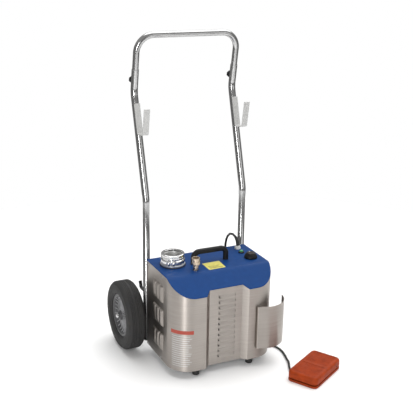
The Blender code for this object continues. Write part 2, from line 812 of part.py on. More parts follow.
def make_motor():
    """The motor under the collar, from its stand up to the drive socket."""
    axis = (*COLLAR, 0)
    stand = [(0.040, 0.0637), (0.052, 0.0637), (0.052, 0.0333), (0.040, 0.0333)]
    turned("motor_stand", "zinc", stand, axis, steps=16)
    bottom = [(0.0165, 0.0840), (0.0215, 0.0840), (0.0215, 0.0690), (0.0500, 0.0690), (0.0500, 0.0997)]
    bottom += [(0.0560, 0.0997), (0.0560, MOTOR_LOW), (0.0070, MOTOR_LOW), (0.0070, 0.0720), (0.0165, 0.0720)]
    turned("motor_bottom_bell", "motor_grey", bottom, axis, steps=16)
    turned("motor_body", "motor_grey", ring_profile(0.0460, 0.0560, 0.1000, 0.2497), axis, steps=16)
    top = [(0.0070, 0.2920), (0.0560, 0.2900), (0.0560, 0.2500), (0.0500, 0.2500), (0.0500, 0.2850)]
    top += [(0.0215, 0.2850), (0.0215, 0.2700), (0.0165, 0.2700), (0.0165, 0.2820), (0.0070, 0.2820)]
    turned("motor_top_bell", "motor_grey", top, axis, steps=16)
    for name, z in (("lower_bearing", 0.0724), ("upper_bearing", 0.2726)):
        turned(name, "zinc", ring_profile(0.0063, 0.0162, z, z + 0.009), axis, steps=16)
    core = [(0.0060, 0.2200), (0.0440, 0.2200), (0.0440, 0.1200), (0.0060, 0.1200)]
    shaft = [(0, 0.3380), (0.0060, 0.3380)] + core + [(0.0060, 0.0660), (0, 0.0660)]
    turned("motor_rotor", "rotor_steel", shaft, axis, steps=16)


def make_cooling_fan():
    place = (*COLLAR, 0.2300)
    fan = turned("cooling_fan", "black_plastic", ring_profile(0.0064, 0.0420, 0.0, 0.0020), place, steps=16)
    for number in range(6):
        blade = box(f"blade_{number}", None, (0.012, -0.001, 0.001), (0.040, 0.001, 0.018), place=place)
        blade.rotation_euler = (0, 0, math.radians(60 * number))
        boolean(fan, blade, "UNION")
    return fan


def make_water_parts():
    x, y = INLET
    box("water_valve", "brass", (-0.018, -0.018, -0.070), (0.018, 0.018, -0.0225), 0.002, place=(x, y, TOP))
    start = Vector((x + 0.0190, y, TOP - 0.055))
    end = Vector((COLLAR[0] + 0.0318, COLLAR[1], TOP - 0.030))
    route = [
        start,
        start + Vector((0.026, 0.006, 0)),
        start + Vector((0.030, 0.045, 0.010)),
        end + Vector((0.018, 0, 0)),
        end,
    ]
    tube("inner_hose", "black_rubber", smooth_path(route, 0.012), 0.0045, 2)


def make_electrics():
    turned("capacitor", "white_plastic", rod_profile(0.021, 0.0335, 0.125), (0.010, -0.060, 0), steps=20)
    box("terminal_box", "grey_paint", (0.050, -0.150, 0.0335), (0.130, -0.080, 0.130), 0.003)


# The foot switch.


def on_pedal(u, v, z=0.0):
    """A point given along and across the foot switch."""
    along, across = math.cos(PEDAL_TURN), math.sin(PEDAL_TURN)
    return (PEDAL_CENTRE[0] + u * along - v * across, PEDAL_CENTRE[1] + u * across + v * along, z)


def pedal_outline(inset=0.0, steps=4):
    half_u, half_v, radius = PEDAL_HALF[0] - inset, PEDAL_HALF[1] - inset, PEDAL_ROUND - inset
    corners = []
    for number, (side_u, side_v) in enumerate(((1, 1), (-1, 1), (-1, -1), (1, -1))):
        centre = (side_u * (half_u - radius), side_v * (half_v - radius))
        corners += arc(centre, radius, 90 * number, 90 * number + 90, steps)
    return corners


LEAD_U = -0.031  # where the lead enters the foot switch's rear edge
HINGE = (0, 0.050, 0.016)  # the pedal's rear edge
PADS = ((-0.084, -0.010), (0.010, 0.084))


def make_foot_switch_base():
    base = prism("foot_switch_base", "orange_rubber", pedal_outline(), 0.0, 0.0085, parent=foot_frame)
    inner = pedal_outline(0.006)
    boolean(base, prism("base_hollow", None, inner, 0.003, 0.02, parent=foot_frame))
    block = box("switch_block", None, (-0.030, -0.020, 0.001), (0.030, 0.022, 0.0230), parent=foot_frame)
    boolean(base, block, "UNION")
    low, high = (LEAD_U - 0.008, 0.020, 0.001), (LEAD_U + 0.008, 0.0555, 0.0115)
    boolean(base, box("lead_entry", None, low, high, parent=foot_frame), "UNION")


def make_foot_pedal():
    """The treadle over the base, hollow below, with a pocket for each of its two pads."""
    where = {"place": -Vector(HINGE), "parent": pedal_frame}
    pedal = prism("foot_pedal", "orange_rubber", pedal_outline(0.0003), 0.0130, 0.0400, **where)
    boolean(pedal, prism("pedal_hollow", None, pedal_outline(0.0035), 0.0, 0.0345, **where))
    for number, (low, high) in enumerate(PADS):
        boolean(pedal, box(f"pocket_{number}", None, (low, -0.042, 0.0385), (high, 0.040, 0.05), **where))


# The two leads. Each is a tube where it runs free and a plain ring where it is coiled.

MAINS_ROUTE = [
    (0.1520, -0.0350, 0.3724),
    (0.1516, -0.0335, 0.3840),
    (0.1500, -0.0275, 0.3955),
    (0.1470, -0.0165, 0.4050),
    (0.1435, -0.0035, 0.4085),
    (0.1400, 0.0090, 0.4045),
    (0.1370, 0.0200, 0.3920),
    (0.1350, 0.0270, 0.3740),
    (0.1340, 0.0305, 0.3500),
    (0.1340, 0.0320, 0.3100),
    (0.1350, 0.0325, 0.2500),
    (0.1370, 0.0325, 0.1800),
    (0.1400, 0.0325, 0.1200),
    (0.1450, 0.0330, 0.0750),
    (0.1520, 0.0360, 0.0420),
    (0.1610, 0.0430, 0.0190),
    (0.1705, 0.0570, 0.0070),
    (0.1770, 0.0770, 0.0046),
    (0.1797, 0.1000, 0.0046),
    (0.1798, 0.1200, 0.0046),
]

FOOT_ROUTE_TO_COIL = [
    (0.0300, 0.0264, 0.1050),
    (0.0302, 0.0370, 0.1030),
    (0.0308, 0.0465, 0.0950),
    (0.0316, 0.0520, 0.0800),
    (0.0324, 0.0545, 0.0600),
    (0.0334, 0.0570, 0.0380),
    (0.0348, 0.0630, 0.0190),
    (0.0366, 0.0760, 0.0070),
    (0.0382, 0.0950, 0.0041),
    (0.0392, 0.1180, 0.0041),
]

FOOT_ROUTE_FROM_COIL = [
    (-0.0640, 0.0895, 0.0041),
    (-0.0480, 0.0720, 0.0041),
    (-0.0180, 0.0420, 0.0041),
    (0.0250, 0.0040, 0.0041),
    (0.0750, -0.0380, 0.0041),
    (0.1250, -0.0760, 0.0041),
    (0.1750, -0.1100, 0.0041),
    (0.2180, -0.1380, 0.0041),
    (0.2450, -0.1680, 0.0041),
    (0.2530, -0.2050, 0.0041),
    (0.2470, -0.2450, 0.0041),
    (0.2370, -0.2780, 0.0044),
    (0.2300, -0.3020, 0.0055),
]


def make_mains_lead():
    path = smooth_path(MAINS_ROUTE, 0.0165)
    middle = path[1].lerp(path[2], 0.5)
    ahead = (path[2] - path[1]).normalized()
    tube("cord_relief", "black_rubber", [path[0], path[1], middle], 0.0068, 3, radii=(1.0, 0.84, 0.76))
    tube("mains_cord", "black_rubber", [middle + ahead * GAP] + path[2:], MAINS_RADIUS, 2)
    coil = ring_profile(0.0340, 0.0600, GAP, 0.0245)
    turned("mains_coil", "black_rubber", coil, (*MAINS_COIL, 0), steps=24)
    on_coil = (MAINS_COIL[0], MAINS_COIL[1] - 0.044, 0.036)
    low, high = (-0.0275, -0.0140, -0.0110), (0.0275, 0.0140, 0.0110)
    plug = box("mains_plug", "black_rubber", low, high, 0.004, place=on_coil)
    for number, across in enumerate((-0.0064, 0.0064)):
        low, high = (0.0260, across - 0.0008, -0.0032), (0.0450, across + 0.0008, 0.0032)
        boolean(plug, box(f"pin_{number}", None, low, high, place=on_coil), "UNION")


def make_foot_lead():
    nut = [(0.0042, 0.0180), (0.0066, 0.0180), (0.0078, 0.0110), (0.0105, 0.0100), (0.0105, GAP)]
    thread = [(0.0061, GAP), (0.0061, -0.0140), (0.0042, -0.0140)]
    gland = Vector(FOOT_GLAND)
    turned("foot_lead_gland", "black_plastic", nut + thread, gland + Vector((0, 0.0023, 0)), ALONG_Y, 12)
    path = [gland + Vector((0, y, 0)) for y in (-0.010, 0.012)] + smooth_path(FOOT_ROUTE_TO_COIL, 0.0150)
    tube("foot_cord_to_coil", "black_rubber", path, FOOT_LEAD_RADIUS, 2)
    coil = ring_profile(0.0310, 0.0545, GAP, 0.0215)
    turned("foot_coil", "black_rubber", coil, (*FOOT_COIL, 0), steps=24)
    route = FOOT_ROUTE_FROM_COIL + [on_pedal(LEAD_U, v, 0.0062) for v in (0.0800, 0.0690, 0.0580)]
    tube("foot_cord", "black_rubber", smooth_path(route, 0.0165), FOOT_LEAD_RADIUS, 2)


clear_scene()
parts = new_collection("tube_cleaning_machine")
cutters = new_collection("cutters")
cleaner = new_frame("cleaner", (MACHINE_X, MACHINE_Y, 0))
foot_frame = new_frame("foot_switch_frame", (*PEDAL_CENTRE, 0), (0, 0, PEDAL_TURN), cleaner)
pedal_frame = new_frame("pedal_hinge", HINGE, parent=foot_frame)

screw_holes = make_screw_holes()
bolt_holes = make_bolt_holes()
make_casing()
make_rear_panel()
make_base_pan()
make_top_cover()
for side_name, side_sign in (("left", -1), ("right", 1)):
    make_upright(f"{side_name}_upright", side_sign)
    make_clamp_knob(f"{side_name}_clamp_knob", side_sign)
    make_hook(f"{side_name}_hook", side_sign)
    make_axle_bracket(f"{side_name}_axle_bracket", side_sign)
    make_tyre(f"{side_name}_tyre", side_sign)
    make_rim(f"{side_name}_rim", side_sign)
    make_hub_nut(f"{side_name}_hub_nut", side_sign)
    make_foot(f"{side_name}_foot", side_sign)
make_upper_handle()
make_cord_hook()
make_crossbar("lower_crossbar", CROSSBARS[0])
make_crossbar("upper_crossbar", CROSSBARS[1])
make_axle()
make_coupling_gasket()
make_coupling_base()
make_locking_collar()
make_drive_socket()
make_water_inlet()
make_water_swivel()
make_carry_handle()
make_cord_gland()
make_pilot_lamp()
make_selector_switch()
make_selector_knob()
make_pouch()
make_motor()
make_cooling_fan()
make_water_parts()
make_electrics()
make_foot_switch_base()
make_foot_pedal()
make_mains_lead()
make_foot_lead()
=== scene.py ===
import json
import math

import bmesh
import bpy
from mathutils import Matrix, Vector


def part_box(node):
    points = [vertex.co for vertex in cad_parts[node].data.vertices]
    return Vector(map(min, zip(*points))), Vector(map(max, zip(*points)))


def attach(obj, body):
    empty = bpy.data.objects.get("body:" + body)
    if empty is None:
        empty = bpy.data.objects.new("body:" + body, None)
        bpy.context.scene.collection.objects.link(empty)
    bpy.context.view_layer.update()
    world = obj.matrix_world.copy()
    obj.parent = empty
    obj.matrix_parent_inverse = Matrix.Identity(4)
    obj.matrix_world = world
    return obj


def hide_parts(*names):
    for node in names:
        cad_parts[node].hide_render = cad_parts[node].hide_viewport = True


# Looks of a wheeled tube cleaning machine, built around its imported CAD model. Metres, +Z up.
# Pieces are modelled in the machine's own frame: x = 0 on the casing's middle plane, y = 0 on its rear face,
# z = 0 on the floor, front towards -Y. MACHINE carries that frame into the row frame.

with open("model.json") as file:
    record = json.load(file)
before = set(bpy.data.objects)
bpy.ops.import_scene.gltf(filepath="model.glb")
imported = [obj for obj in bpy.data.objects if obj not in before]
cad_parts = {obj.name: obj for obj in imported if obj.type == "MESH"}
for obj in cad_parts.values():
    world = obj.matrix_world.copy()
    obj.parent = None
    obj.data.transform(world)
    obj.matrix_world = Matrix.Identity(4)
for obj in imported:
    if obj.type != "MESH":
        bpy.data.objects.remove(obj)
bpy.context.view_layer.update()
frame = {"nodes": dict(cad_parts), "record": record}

CASING_LOW, CASING_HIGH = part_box("casing_shell")
MACHINE = Vector(((CASING_LOW.x + CASING_HIGH.x) / 2, CASING_HIGH.y, 0.0))

# Driving dimensions, as in the CAD source.
WIDTH = 0.392
DEPTH = 0.263
CORNER = 0.08
FLOOR_GAP = 0.03
TOP = 0.359
FOLD = 0.189
FRONT_TOP = 0.303
RECESS = 0.018
RECESS_HALF = 0.063
SHEET = 0.002
COVER_SHEET = 0.0025
GAP = 0.0003
WHEEL_RADIUS = 0.127
WHEEL_MIDDLE = 0.251
AXLE_Y = 0.065
HUB_END = 0.29
TUBE_X = 0.19
TUBE_Y = 0.0145
TUBE_RADIUS = 0.0127
TUBE_BORE = 0.0115
HANDLE_RADIUS = 0.011
KINK = (TUBE_Y, 0.576)
ELBOW = (0.122, 0.935)
HANDLE_TOP = (0.087, 1.133)
UPRIGHT_END = 0.082
KNOB_AT = 0.0385
COLLAR = (-0.129, -0.081)
INLET = (-0.076, -0.158)
GLAND = (0.152, -0.035)
LAMP = (0.146, -0.074)
SWITCH = (0.154, -0.131)
CARRY_Y = -0.108
CARRY_X = (-0.0615, 0.0645)
PEDAL_CENTRE = (0.2747, -0.3995)
PEDAL_TURN = math.radians(30)
PEDAL_HALF = (0.096, 0.057)
PEDAL_ROUND = 0.018
LEAD_U = -0.031
MAINS_RADIUS = 0.00425
FOOT_LEAD_RADIUS = 0.00375
MAINS_LIES_AT = 0.0046
FOOT_LEAD_LIES_AT = 0.0041
MAINS_COIL = (0.115, 0.13)
FOOT_COIL = (-0.02, 0.13)
FOOT_GLAND = (0.03, 0.0023, 0.105)
CROSSBARS = (0.0675, 0.315)
BOLT_X = 0.167
VENT_ROWS = (0.283, 0.1945, 0.102)
VENT_COLUMNS = (-0.086, -0.1145, -0.143)
LOUVRES = 12
LOUVRE_LOW, LOUVRE_HIGH = 0.06, 0.284
POUCH_LOW, POUCH_HIGH = 0.072, 0.232

# The camera: its place in the machine's frame, its azimuth, elevation and roll in degrees, its lens in mm.
CAMERA_PLACE = (-1.1847, -2.5119, 1.4376)
CAMERA_ANGLES = (-25.95, 18.06, 1.04)
CAMERA_LENS = 70.99

X, Y, Z = Vector((1, 0, 0)), Vector((0, 1, 0)), Vector((0, 0, 1))
SIDES = ((-1, "left"), (1, "right"))


def mm(*points):
    """Points given in millimetres, as points in metres."""
    return [tuple(round(value / 1000, 7) for value in point) for point in points]


# Materials. Each is a Principled shader whose colour, roughness and bump vary with procedural grain.


class Look:
    """A procedural material. Its grain is read from each object's own coordinates, in metres."""

    def __init__(self, name, colour, roughness, metallic=0.0, **constants):
        self.name = name
        self.material = bpy.data.materials.new(name)
        self.material.use_nodes = True
        self.nodes = self.material.node_tree.nodes
        self.links = self.material.node_tree.links
        self.shader = self.nodes["Principled BSDF"]
        self.place = self.nodes.new("ShaderNodeTexCoord").outputs["Object"]
        self.height = None
        self.shader.inputs["Base Color"].default_value = (*colour, 1.0)
        self.shader.inputs["Roughness"].default_value = roughness
        self.shader.inputs["Metallic"].default_value = metallic
        for socket, value in constants.items():
            self.shader.inputs[socket.replace("_", " ")].default_value = value

    def link(self, output, socket):
        self.links.new(output, socket)

    def noise(self, scale, detail=3.0, stretch=(1, 1, 1), rough=0.5):
        """Noise of that many waves a metre, stretched by a factor along each axis."""
        mapping = self.nodes.new("ShaderNodeMapping")
        mapping.inputs["Scale"].default_value = stretch
        self.link(self.place, mapping.inputs["Vector"])
        made = self.nodes.new("ShaderNodeTexNoise")
        made.inputs["Scale"].default_value = scale
        made.inputs["Detail"].default_value = detail
        made.inputs["Roughness"].default_value = rough
        self.link(mapping.outputs["Vector"], made.inputs["Vector"])
        return made.outputs["Fac"]

    def cells(self, scale):
        made = self.nodes.new("ShaderNodeTexVoronoi")
        made.inputs["Scale"].default_value = scale
        self.link(self.place, made.inputs["Vector"])
        return made.outputs["Distance"]

    def edges(self):
        """About 0.5 on flat ground and more on outer edges."""
        return self.nodes.new("ShaderNodeNewGeometry").outputs["Pointiness"]

    def remap(self, value, low, high, to_low, to_high):
        made = self.nodes.new("ShaderNodeMapRange")
        self.link(value, made.inputs["Value"])
        made.inputs["From Min"].default_value = low
        made.inputs["From Max"].default_value = high
        made.inputs["To Min"].default_value = to_low
        made.inputs["To Max"].default_value = to_high
        return made.outputs["Result"]

    def roughness(self, value, low, high, band=(0.3, 0.7)):
        self.link(self.remap(value, *band, low, high), self.shader.inputs["Roughness"])
        return self

    def colour(self, value, *stops):
        """Base colour from a ramp of (position, colour) stops."""
        ramp = self.nodes.new("ShaderNodeValToRGB")
        self.link(value, ramp.inputs["Fac"])
        elements = ramp.color_ramp.elements
        while len(elements) < len(stops):
            elements.new(0.5)
        for element, (position, colour) in zip(elements, stops):
            element.position = position
            element.color = (*colour, 1.0)
        self.link(ramp.outputs["Color"], self.shader.inputs["Base Color"])
        return self

    def bump(self, value, depth, strength=1.0):
        """A relief of this depth in metres, added to those before it."""
        made = self.nodes.new("ShaderNodeBump")
        made.inputs["Distance"].default_value = depth
        made.inputs["Strength"].default_value = strength
        self.link(value, made.inputs["Height"])
        if self.height:
            self.link(self.height, made.inputs["Normal"])
        self.height = made.outputs["Normal"]
        self.link(self.height, self.shader.inputs["Normal"])
        return self


def tone(colour, factor):
    return tuple(min(1.0, channel * factor) for channel in colour)


def varied(look, colour, value, spread=0.12):
    return look.colour(value, (0.3, tone(colour, 1 - spread)), (0.7, tone(colour, 1 + spread)))


def brushed_look(name, colour, low, high, stretch=(0.03, 0.03, 1)):
    """Sheet brushed along its length: the grain spreads its reflections up and down."""
    look = Look(name, colour, low, 1.0, Anisotropic=0.8, Anisotropic_Rotation=0.25)
    grain = look.noise(900, 4, stretch)
    varied(look, colour, look.noise(260, 3, stretch), 0.06)
    look.roughness(look.noise(14, 4), low, high)
    return look.bump(grain, 0.00006, 0.5)


def polished_look(name, colour, low, high):
    look = Look(name, colour, low, 1.0)
    look.roughness(look.noise(35, 5), low, high)
    varied(look, colour, look.noise(20, 3), 0.04)
    return look.bump(look.noise(300, 2, (1, 1, 0.1)), 0.00001, 0.3)


def painted_look(name, colour, low, high, peel=0.00003, wear=(0.3, 0.3, 0.31)):
    """Paint with orange peel, painted shade darkening its hollows and creases, and lighter worn edges."""
    look = Look(name, colour, low, 0.0, Coat_Weight=0.35, Coat_Roughness=0.12)
    # Below flat ground the pointiness darkens hollows and creases as painted shade; above it the outer edges
    # lighten as wear.
    stops = (0.3, tone(colour, 0.8)), (0.5, colour), (0.62, tone(colour, 1.15)), (0.8, wear)
    look.colour(look.edges(), *stops)
    look.roughness(look.noise(28, 5), low, high)
    return look.bump(look.noise(520, 2), peel, 0.6)


def moulded_look(name, colour, low, high, scale=1500, depth=0.00006, gloss=0.5):
    """Plastic or rubber with a fine moulded texture and faint scuffs."""
    look = Look(name, colour, low, Specular_IOR_Level=gloss)
    varied(look, colour, look.noise(60, 5), 0.18)
    look.roughness(look.noise(25, 5), low, high)
    return look.bump(look.cells(scale), depth, 0.7)


def machined_look(name, colour, low, high):
    look = Look(name, colour, low, 1.0)
    varied(look, colour, look.noise(160, 4, (0.1, 0.1, 1)), 0.1)
    look.roughness(look.noise(90, 4), low, high)
    return look.bump(look.noise(1600, 2, (0.08, 0.08, 1)), 0.00003, 0.5)


def blue_paint_look():
    colour = (0.006, 0.046, 0.18)
    look = Look("blue_paint", colour, 0.42, 0.0, Specular_IOR_Level=0.1)
    look.colour(look.noise(60, 6), (0.3, tone(colour, 0.93)), (0.6, colour), (0.85, tone(colour, 1.12)))
    look.roughness(look.noise(40, 6), 0.38, 0.48)
    return look.bump(look.noise(900, 2), 0.00003, 0.4)


def tyre_look():
    """Black rubber, browner and duller where dust has settled."""
    look = Look("tyre_rubber", (0.02, 0.02, 0.02), 0.75)
    dust = look.noise(30, 7, rough=0.6)
    clean, dusty, dustiest = (0.014, 0.014, 0.015), (0.024, 0.023, 0.022), (0.05, 0.046, 0.042)
    look.colour(dust, (0.35, clean), (0.6, dusty), (0.8, dustiest))
    look.roughness(dust, 0.62, 0.88)
    look.bump(look.noise(160, 4), 0.00025, 0.5)
    return look.bump(look.cells(900), 0.00008, 0.6)


def lens_look():
    look = Look("green_lens", (0.01, 0.26, 0.09), 0.08, 0.0, Coat_Weight=1.0, Subsurface_Weight=0.15)
    varied(look, (0.01, 0.26, 0.09), look.noise(120, 2), 0.1)
    return look.bump(look.noise(500, 1), 0.00002, 0.4)


def printed_look(name, colour):
    """A printed label: satin film with faint fibres and scuffs."""
    look = Look(name, colour, 0.42, 0.0, Coat_Weight=0.25, Coat_Roughness=0.2)
    varied(look, colour, look.noise(90, 5), 0.08)
    look.roughness(look.noise(50, 4), 0.35, 0.55)
    return look.bump(look.noise(800, 2), 0.00002, 0.5)


def floor_look():
    look = Look("studio_floor", (0.95, 0.95, 0.95), 0.6)
    varied(look, (0.95, 0.95, 0.95), look.noise(2, 2), 0.005)
    return look


STEEL, CHROME = (0.39, 0.356, 0.328), (0.62, 0.62, 0.62)
LOOKS = {look.name: look for look in (
    brushed_look("stainless", STEEL, 0.36, 0.44),
    polished_look("chrome", CHROME, 0.15, 0.22),
    polished_look("tube_chrome", (0.46, 0.46, 0.46), 0.15, 0.22),
    polished_look("satin_chrome", (0.8, 0.8, 0.79), 0.38, 0.46),
    blue_paint_look(),
    painted_look("grey_paint", (0.5, 0.5, 0.49), 0.38, 0.5, 0.00004, (0.6, 0.6, 0.6)),
    painted_look("black_paint", (0.018, 0.018, 0.019), 0.32, 0.48, wear=(0.1, 0.1, 0.1)),
    moulded_look("black_plastic", (0.009, 0.009, 0.01), 0.36, 0.52, gloss=0.22),
    moulded_look("black_rubber", (0.016, 0.016, 0.016), 0.5, 0.72, 1100, 0.00005),
    tyre_look(),
    moulded_look("rim_grey", (0.06, 0.06, 0.063), 0.3, 0.45),
    # The rim's ribs: the rim's own moulding in a lighter grey, so the contrast of ribs and web is painted
    # light and shade.
    moulded_look("rim_rib_lit_copy", (0.32, 0.32, 0.33), 0.28, 0.4),
    machined_look("brass", (0.58, 0.48, 0.37), 0.24, 0.38),
    machined_look("zinc", (0.5, 0.5, 0.5), 0.34, 0.46),
    painted_look("motor_grey", (0.19, 0.2, 0.21), 0.42, 0.6, 0.00012, (0.35, 0.35, 0.35)),
    machined_look("rotor_steel", (0.42, 0.42, 0.43), 0.3, 0.48),
    moulded_look("white_plastic", (0.7, 0.7, 0.68), 0.3, 0.45),
    lens_look(),
    moulded_look("orange_rubber", (0.285, 0.034, 0.003), 0.46, 0.58, 1300, 0.00005, 0.15),
    moulded_look("orange_pad", (0.275, 0.035, 0.006), 0.5, 0.68, 700, 0.0001, 0.12),
    # The selector's top: its black plastic made lighter and browner, a painted sheen where light falls on the
    # top.
    moulded_look("knob_top_sheen", (0.018, 0.012, 0.009), 0.3, 0.42, gloss=0.3),
    printed_look("yellow_label", (0.7, 0.63, 0.13)),
    printed_look("label_black", (0.02, 0.02, 0.02)),
    printed_look("red_label", (0.34, 0.038, 0.017)),
    printed_look("pale_print", (0.55, 0.55, 0.55)),
)}


# Geometry: objects, paths and outlines, and meshes in a piece's own frame.

SHARP = 32


def add_sides(bm, rings):
    """Faces between each closed ring of corners and the next."""
    for first, second in zip(rings, rings[1:]):
        for k in range(len(first)):
            bm.faces.new((first[k - 1], first[k], second[k], second[k - 1]))


def shaded(bm, name, sharp=SHARP):
    """The mesh, smooth but for edges sharper than an angle in degrees."""
    mesh = bpy.data.meshes.new(name)
    bm.to_mesh(mesh)
    bm.free()
    mesh.shade_smooth()
    mesh.set_sharp_from_angle(angle=math.radians(sharp))
    return mesh


def mesh_of(bm, name, sharp=SHARP):
    bmesh.ops.remove_doubles(bm, verts=bm.verts, dist=0.000002)
    bmesh.ops.recalc_face_normals(bm, faces=bm.faces)
    return shaded(bm, name, sharp)


def placed(name, data, matrix=None):
    """An object in the scene."""
    made = bpy.data.objects.new(name, data)
    bpy.context.scene.collection.objects.link(made)
    made.matrix_world = matrix or Matrix.Identity(4)
    return made


def piece(name, mesh, look, body="root", at=(0, 0, 0), turn=None, slot=None, stands_for=(), bevel=0.0):
    """A visible piece at a place in the machine's frame, riding on a body.

    Its mesh may be a list of shapes for merged.
    """
    if isinstance(mesh, list):
        mesh = merged(name, mesh)
    made = placed(name, mesh, Matrix.Translation(MACHINE + Vector(at)) @ (turn or Matrix.Identity(4)))
    if isinstance(mesh, bpy.types.Mesh):
        mesh.materials.clear()
    made.data.materials.append(LOOKS[look].material)
    if bevel:
        rounding = made.modifiers.new("rounded edges", "BEVEL")
        rounding.width = bevel
        rounding.segments = 3
        rounding.limit_method = "ANGLE"
        rounding.angle_limit = math.radians(35)
        rounding.harden_normals = False
    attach(made, body)
    if stands_for:
        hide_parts(*([stands_for] if isinstance(stands_for, str) else stands_for))
    return made


def turned(name, look, shape, **where):
    """A piece made by lathed from its shape: profile, steps, softening and ripple."""
    return piece(name, lathed(name, *shape), look, **where)


def arc(centre, radius, start, stop, steps):
    """Points of an arc in a plane, with its angles in degrees."""
    angles = [math.radians(start + (stop - start) * step / steps) for step in range(steps + 1)]
    return [(centre[0] + radius * math.cos(a), centre[1] + radius * math.sin(a)) for a in angles]


def rounded(points, radius, steps=4, closed=False):
    """The path with each corner rounded, by less where its sides are short."""
    path = [Vector(point) for point in points]
    count = len(path)
    found = []
    for number, corner in enumerate(path):
        if not closed and number in (0, count - 1):
            found.append(corner)
            continue
        before, after = path[number - 1] - corner, path[(number + 1) % count] - corner
        back, on = before.normalized(), after.normalized()
        half = back.angle(on) / 2
        if half > math.radians(88):
            found.append(corner)
            continue
        reach = min(radius / math.tan(half), 0.48 * before.length, 0.48 * after.length)
        curve = reach * math.tan(half)
        centre = corner + (back + on).normalized() * (curve / math.sin(half))
        first, last = corner + back * reach - centre, corner + on * reach - centre
        swing = math.pi - 2 * half
        for step in range(steps + 1):
            part = step / steps
            mix = (math.sin((1 - part) * swing) * first + math.sin(part * swing) * last) / math.sin(swing)
            found.append(centre + mix)
    return found


def smooth_path(points, spacing):
    """Evenly spaced points on a smooth curve through the points."""
    path = [Vector(point) for point in points]
    path = [2 * path[0] - path[1]] + path + [2 * path[-1] - path[-2]]
    fine = []
    for a, b, c, d in zip(path, path[1:], path[2:], path[3:]):
        for step in range(40):
            t = step / 40
            bend, twist = 2 * a - 5 * b + 4 * c - d, 3 * b - a - 3 * c + d
            fine.append((2 * b + (c - a) * t + bend * t**2 + twist * t**3) / 2)
    fine.append(path[-2])
    return spaced(fine, spacing)


def spaced(fine, spacing):
    """The path's points made evenly spaced."""
    lengths = [0.0]
    for first, second in zip(fine, fine[1:]):
        lengths.append(lengths[-1] + (second - first).length)
    count = max(2, round(lengths[-1] / spacing))
    found, place = [], 0
    for number in range(count + 1):
        wanted = lengths[-1] * number / count
        while place < len(fine) - 2 and lengths[place + 1] < wanted:
            place += 1
        span = max(1e-9, lengths[place + 1] - lengths[place])
        found.append(fine[place].lerp(fine[place + 1], min(1.0, (wanted - lengths[place]) / span)))
    return found


def lathed(name, profile, steps=64, soften=0.0, ripple=None):
    """A piece turned about Z from (radius, z) points, down the outside and up the inside."""
    if soften:
        profile = rounded(profile, soften, 3, closed=profile[0][0] > 0)
    bm = bmesh.new()
    rings = []
    for radius, z in profile:
        if radius < 1e-6:
            rings.append([bm.verts.new((0, 0, z))])
            continue
        around = []
        for step in range(steps):
            angle = 2 * math.pi * step / steps
            reach = radius * (ripple(angle, z) if ripple else 1.0)
            around.append(bm.verts.new((reach * math.cos(angle), reach * math.sin(angle), z)))
        rings.append(around)
    pairs = list(zip(rings, rings[1:]))
    if profile[0][0] > 1e-6:
        pairs.append((rings[-1], rings[0]))
    for first, second in pairs:
        for step in range(steps):
            after = (step + 1) % steps
            corners = [first[step % len(first)], first[after % len(first)]]
            corners += [second[after % len(second)], second[step % len(second)]]
            unique = list(dict.fromkeys(corners))
            if len(unique) > 2:
                bm.faces.new(unique)
    return mesh_of(bm, name)


def ring(inner, outer, low, high):
    """Profile of a plain ring, or of a rod where the inner radius is 0."""
    return [(inner, high), (outer, high), (outer, low), (inner, low)]


def hexagon(angle, z):
    """Ripple that makes a turned piece six-sided, with the profile's radius at its corners."""
    part = (angle + math.pi / 6) % (math.pi / 3) - math.pi / 6
    return math.cos(math.pi / 6) / math.cos(part)


def flutes(count, depth, low=-1.0, high=1.0, power=1):
    """Ripple with this many shallow grooves round a turned piece, between two heights."""
    def ripple(angle, z):
        groove = depth * (0.5 + 0.5 * math.cos(count * angle)) ** power
        return 1.0 - (groove if low < z < high else 0.0)
    return ripple


def frames_along(path):
    """Two directions square to the path at each of its points, turning as little as possible."""
    found = []
    side = None
    for number, point in enumerate(path):
        ahead = path[min(number + 1, len(path) - 1)] - path[max(number - 1, 0)]
        ahead.normalize()
        if side is None:
            side = ahead.cross(Z if abs(ahead.z) < 0.9 else X)
        side = (side - ahead * side.dot(ahead)).normalized()
        found.append((side.copy(), ahead.cross(side)))
    return found


def swept(name, path, section, bore=None):
    """A solid along the path. section(part, number) gives its outline there as (u, v) points.

    bore is (radius, depth) of a hole down its last end.
    """
    path = [Vector(point) for point in path]
    bm = bmesh.new()
    rings = []
    for number, (point, (u_way, v_way)) in enumerate(zip(path, frames_along(path))):
        outline = section(number / (len(path) - 1), number)
        rings.append([bm.verts.new(point + u_way * u + v_way * v) for u, v in outline])
    sides = len(rings[0])
    if bore:
        ahead = (path[-1] - path[-2]).normalized()
        u_way, v_way = frames_along(path)[-1]
        for depth in (0.0, bore[1]):
            outline = circle(bore[0], sides)
            middle = path[-1] - ahead * depth
            rings.append([bm.verts.new(middle + u_way * u + v_way * v) for u, v in outline])
    add_sides(bm, rings)
    bm.faces.new(rings[0][::-1])
    bm.faces.new(rings[-1])
    return mesh_of(bm, name)


def circle(radius, sides):
    angles = [2 * math.pi * step / sides for step in range(sides)]
    return [(radius * math.cos(angle), radius * math.sin(angle)) for angle in angles]


def round_section(radius, sides):
    def section(part, number):
        return circle(radius, sides)
    return section


def superellipse(half_u, half_v, power, sides=32):
    found = []
    for step in range(sides):
        angle = 2 * math.pi * step / sides
        c, s = math.cos(angle), math.sin(angle)
        found.append((
            half_u * math.copysign(abs(c) ** (2 / power), c),
            half_v * math.copysign(abs(s) ** (2 / power), s),
        ))
    return found


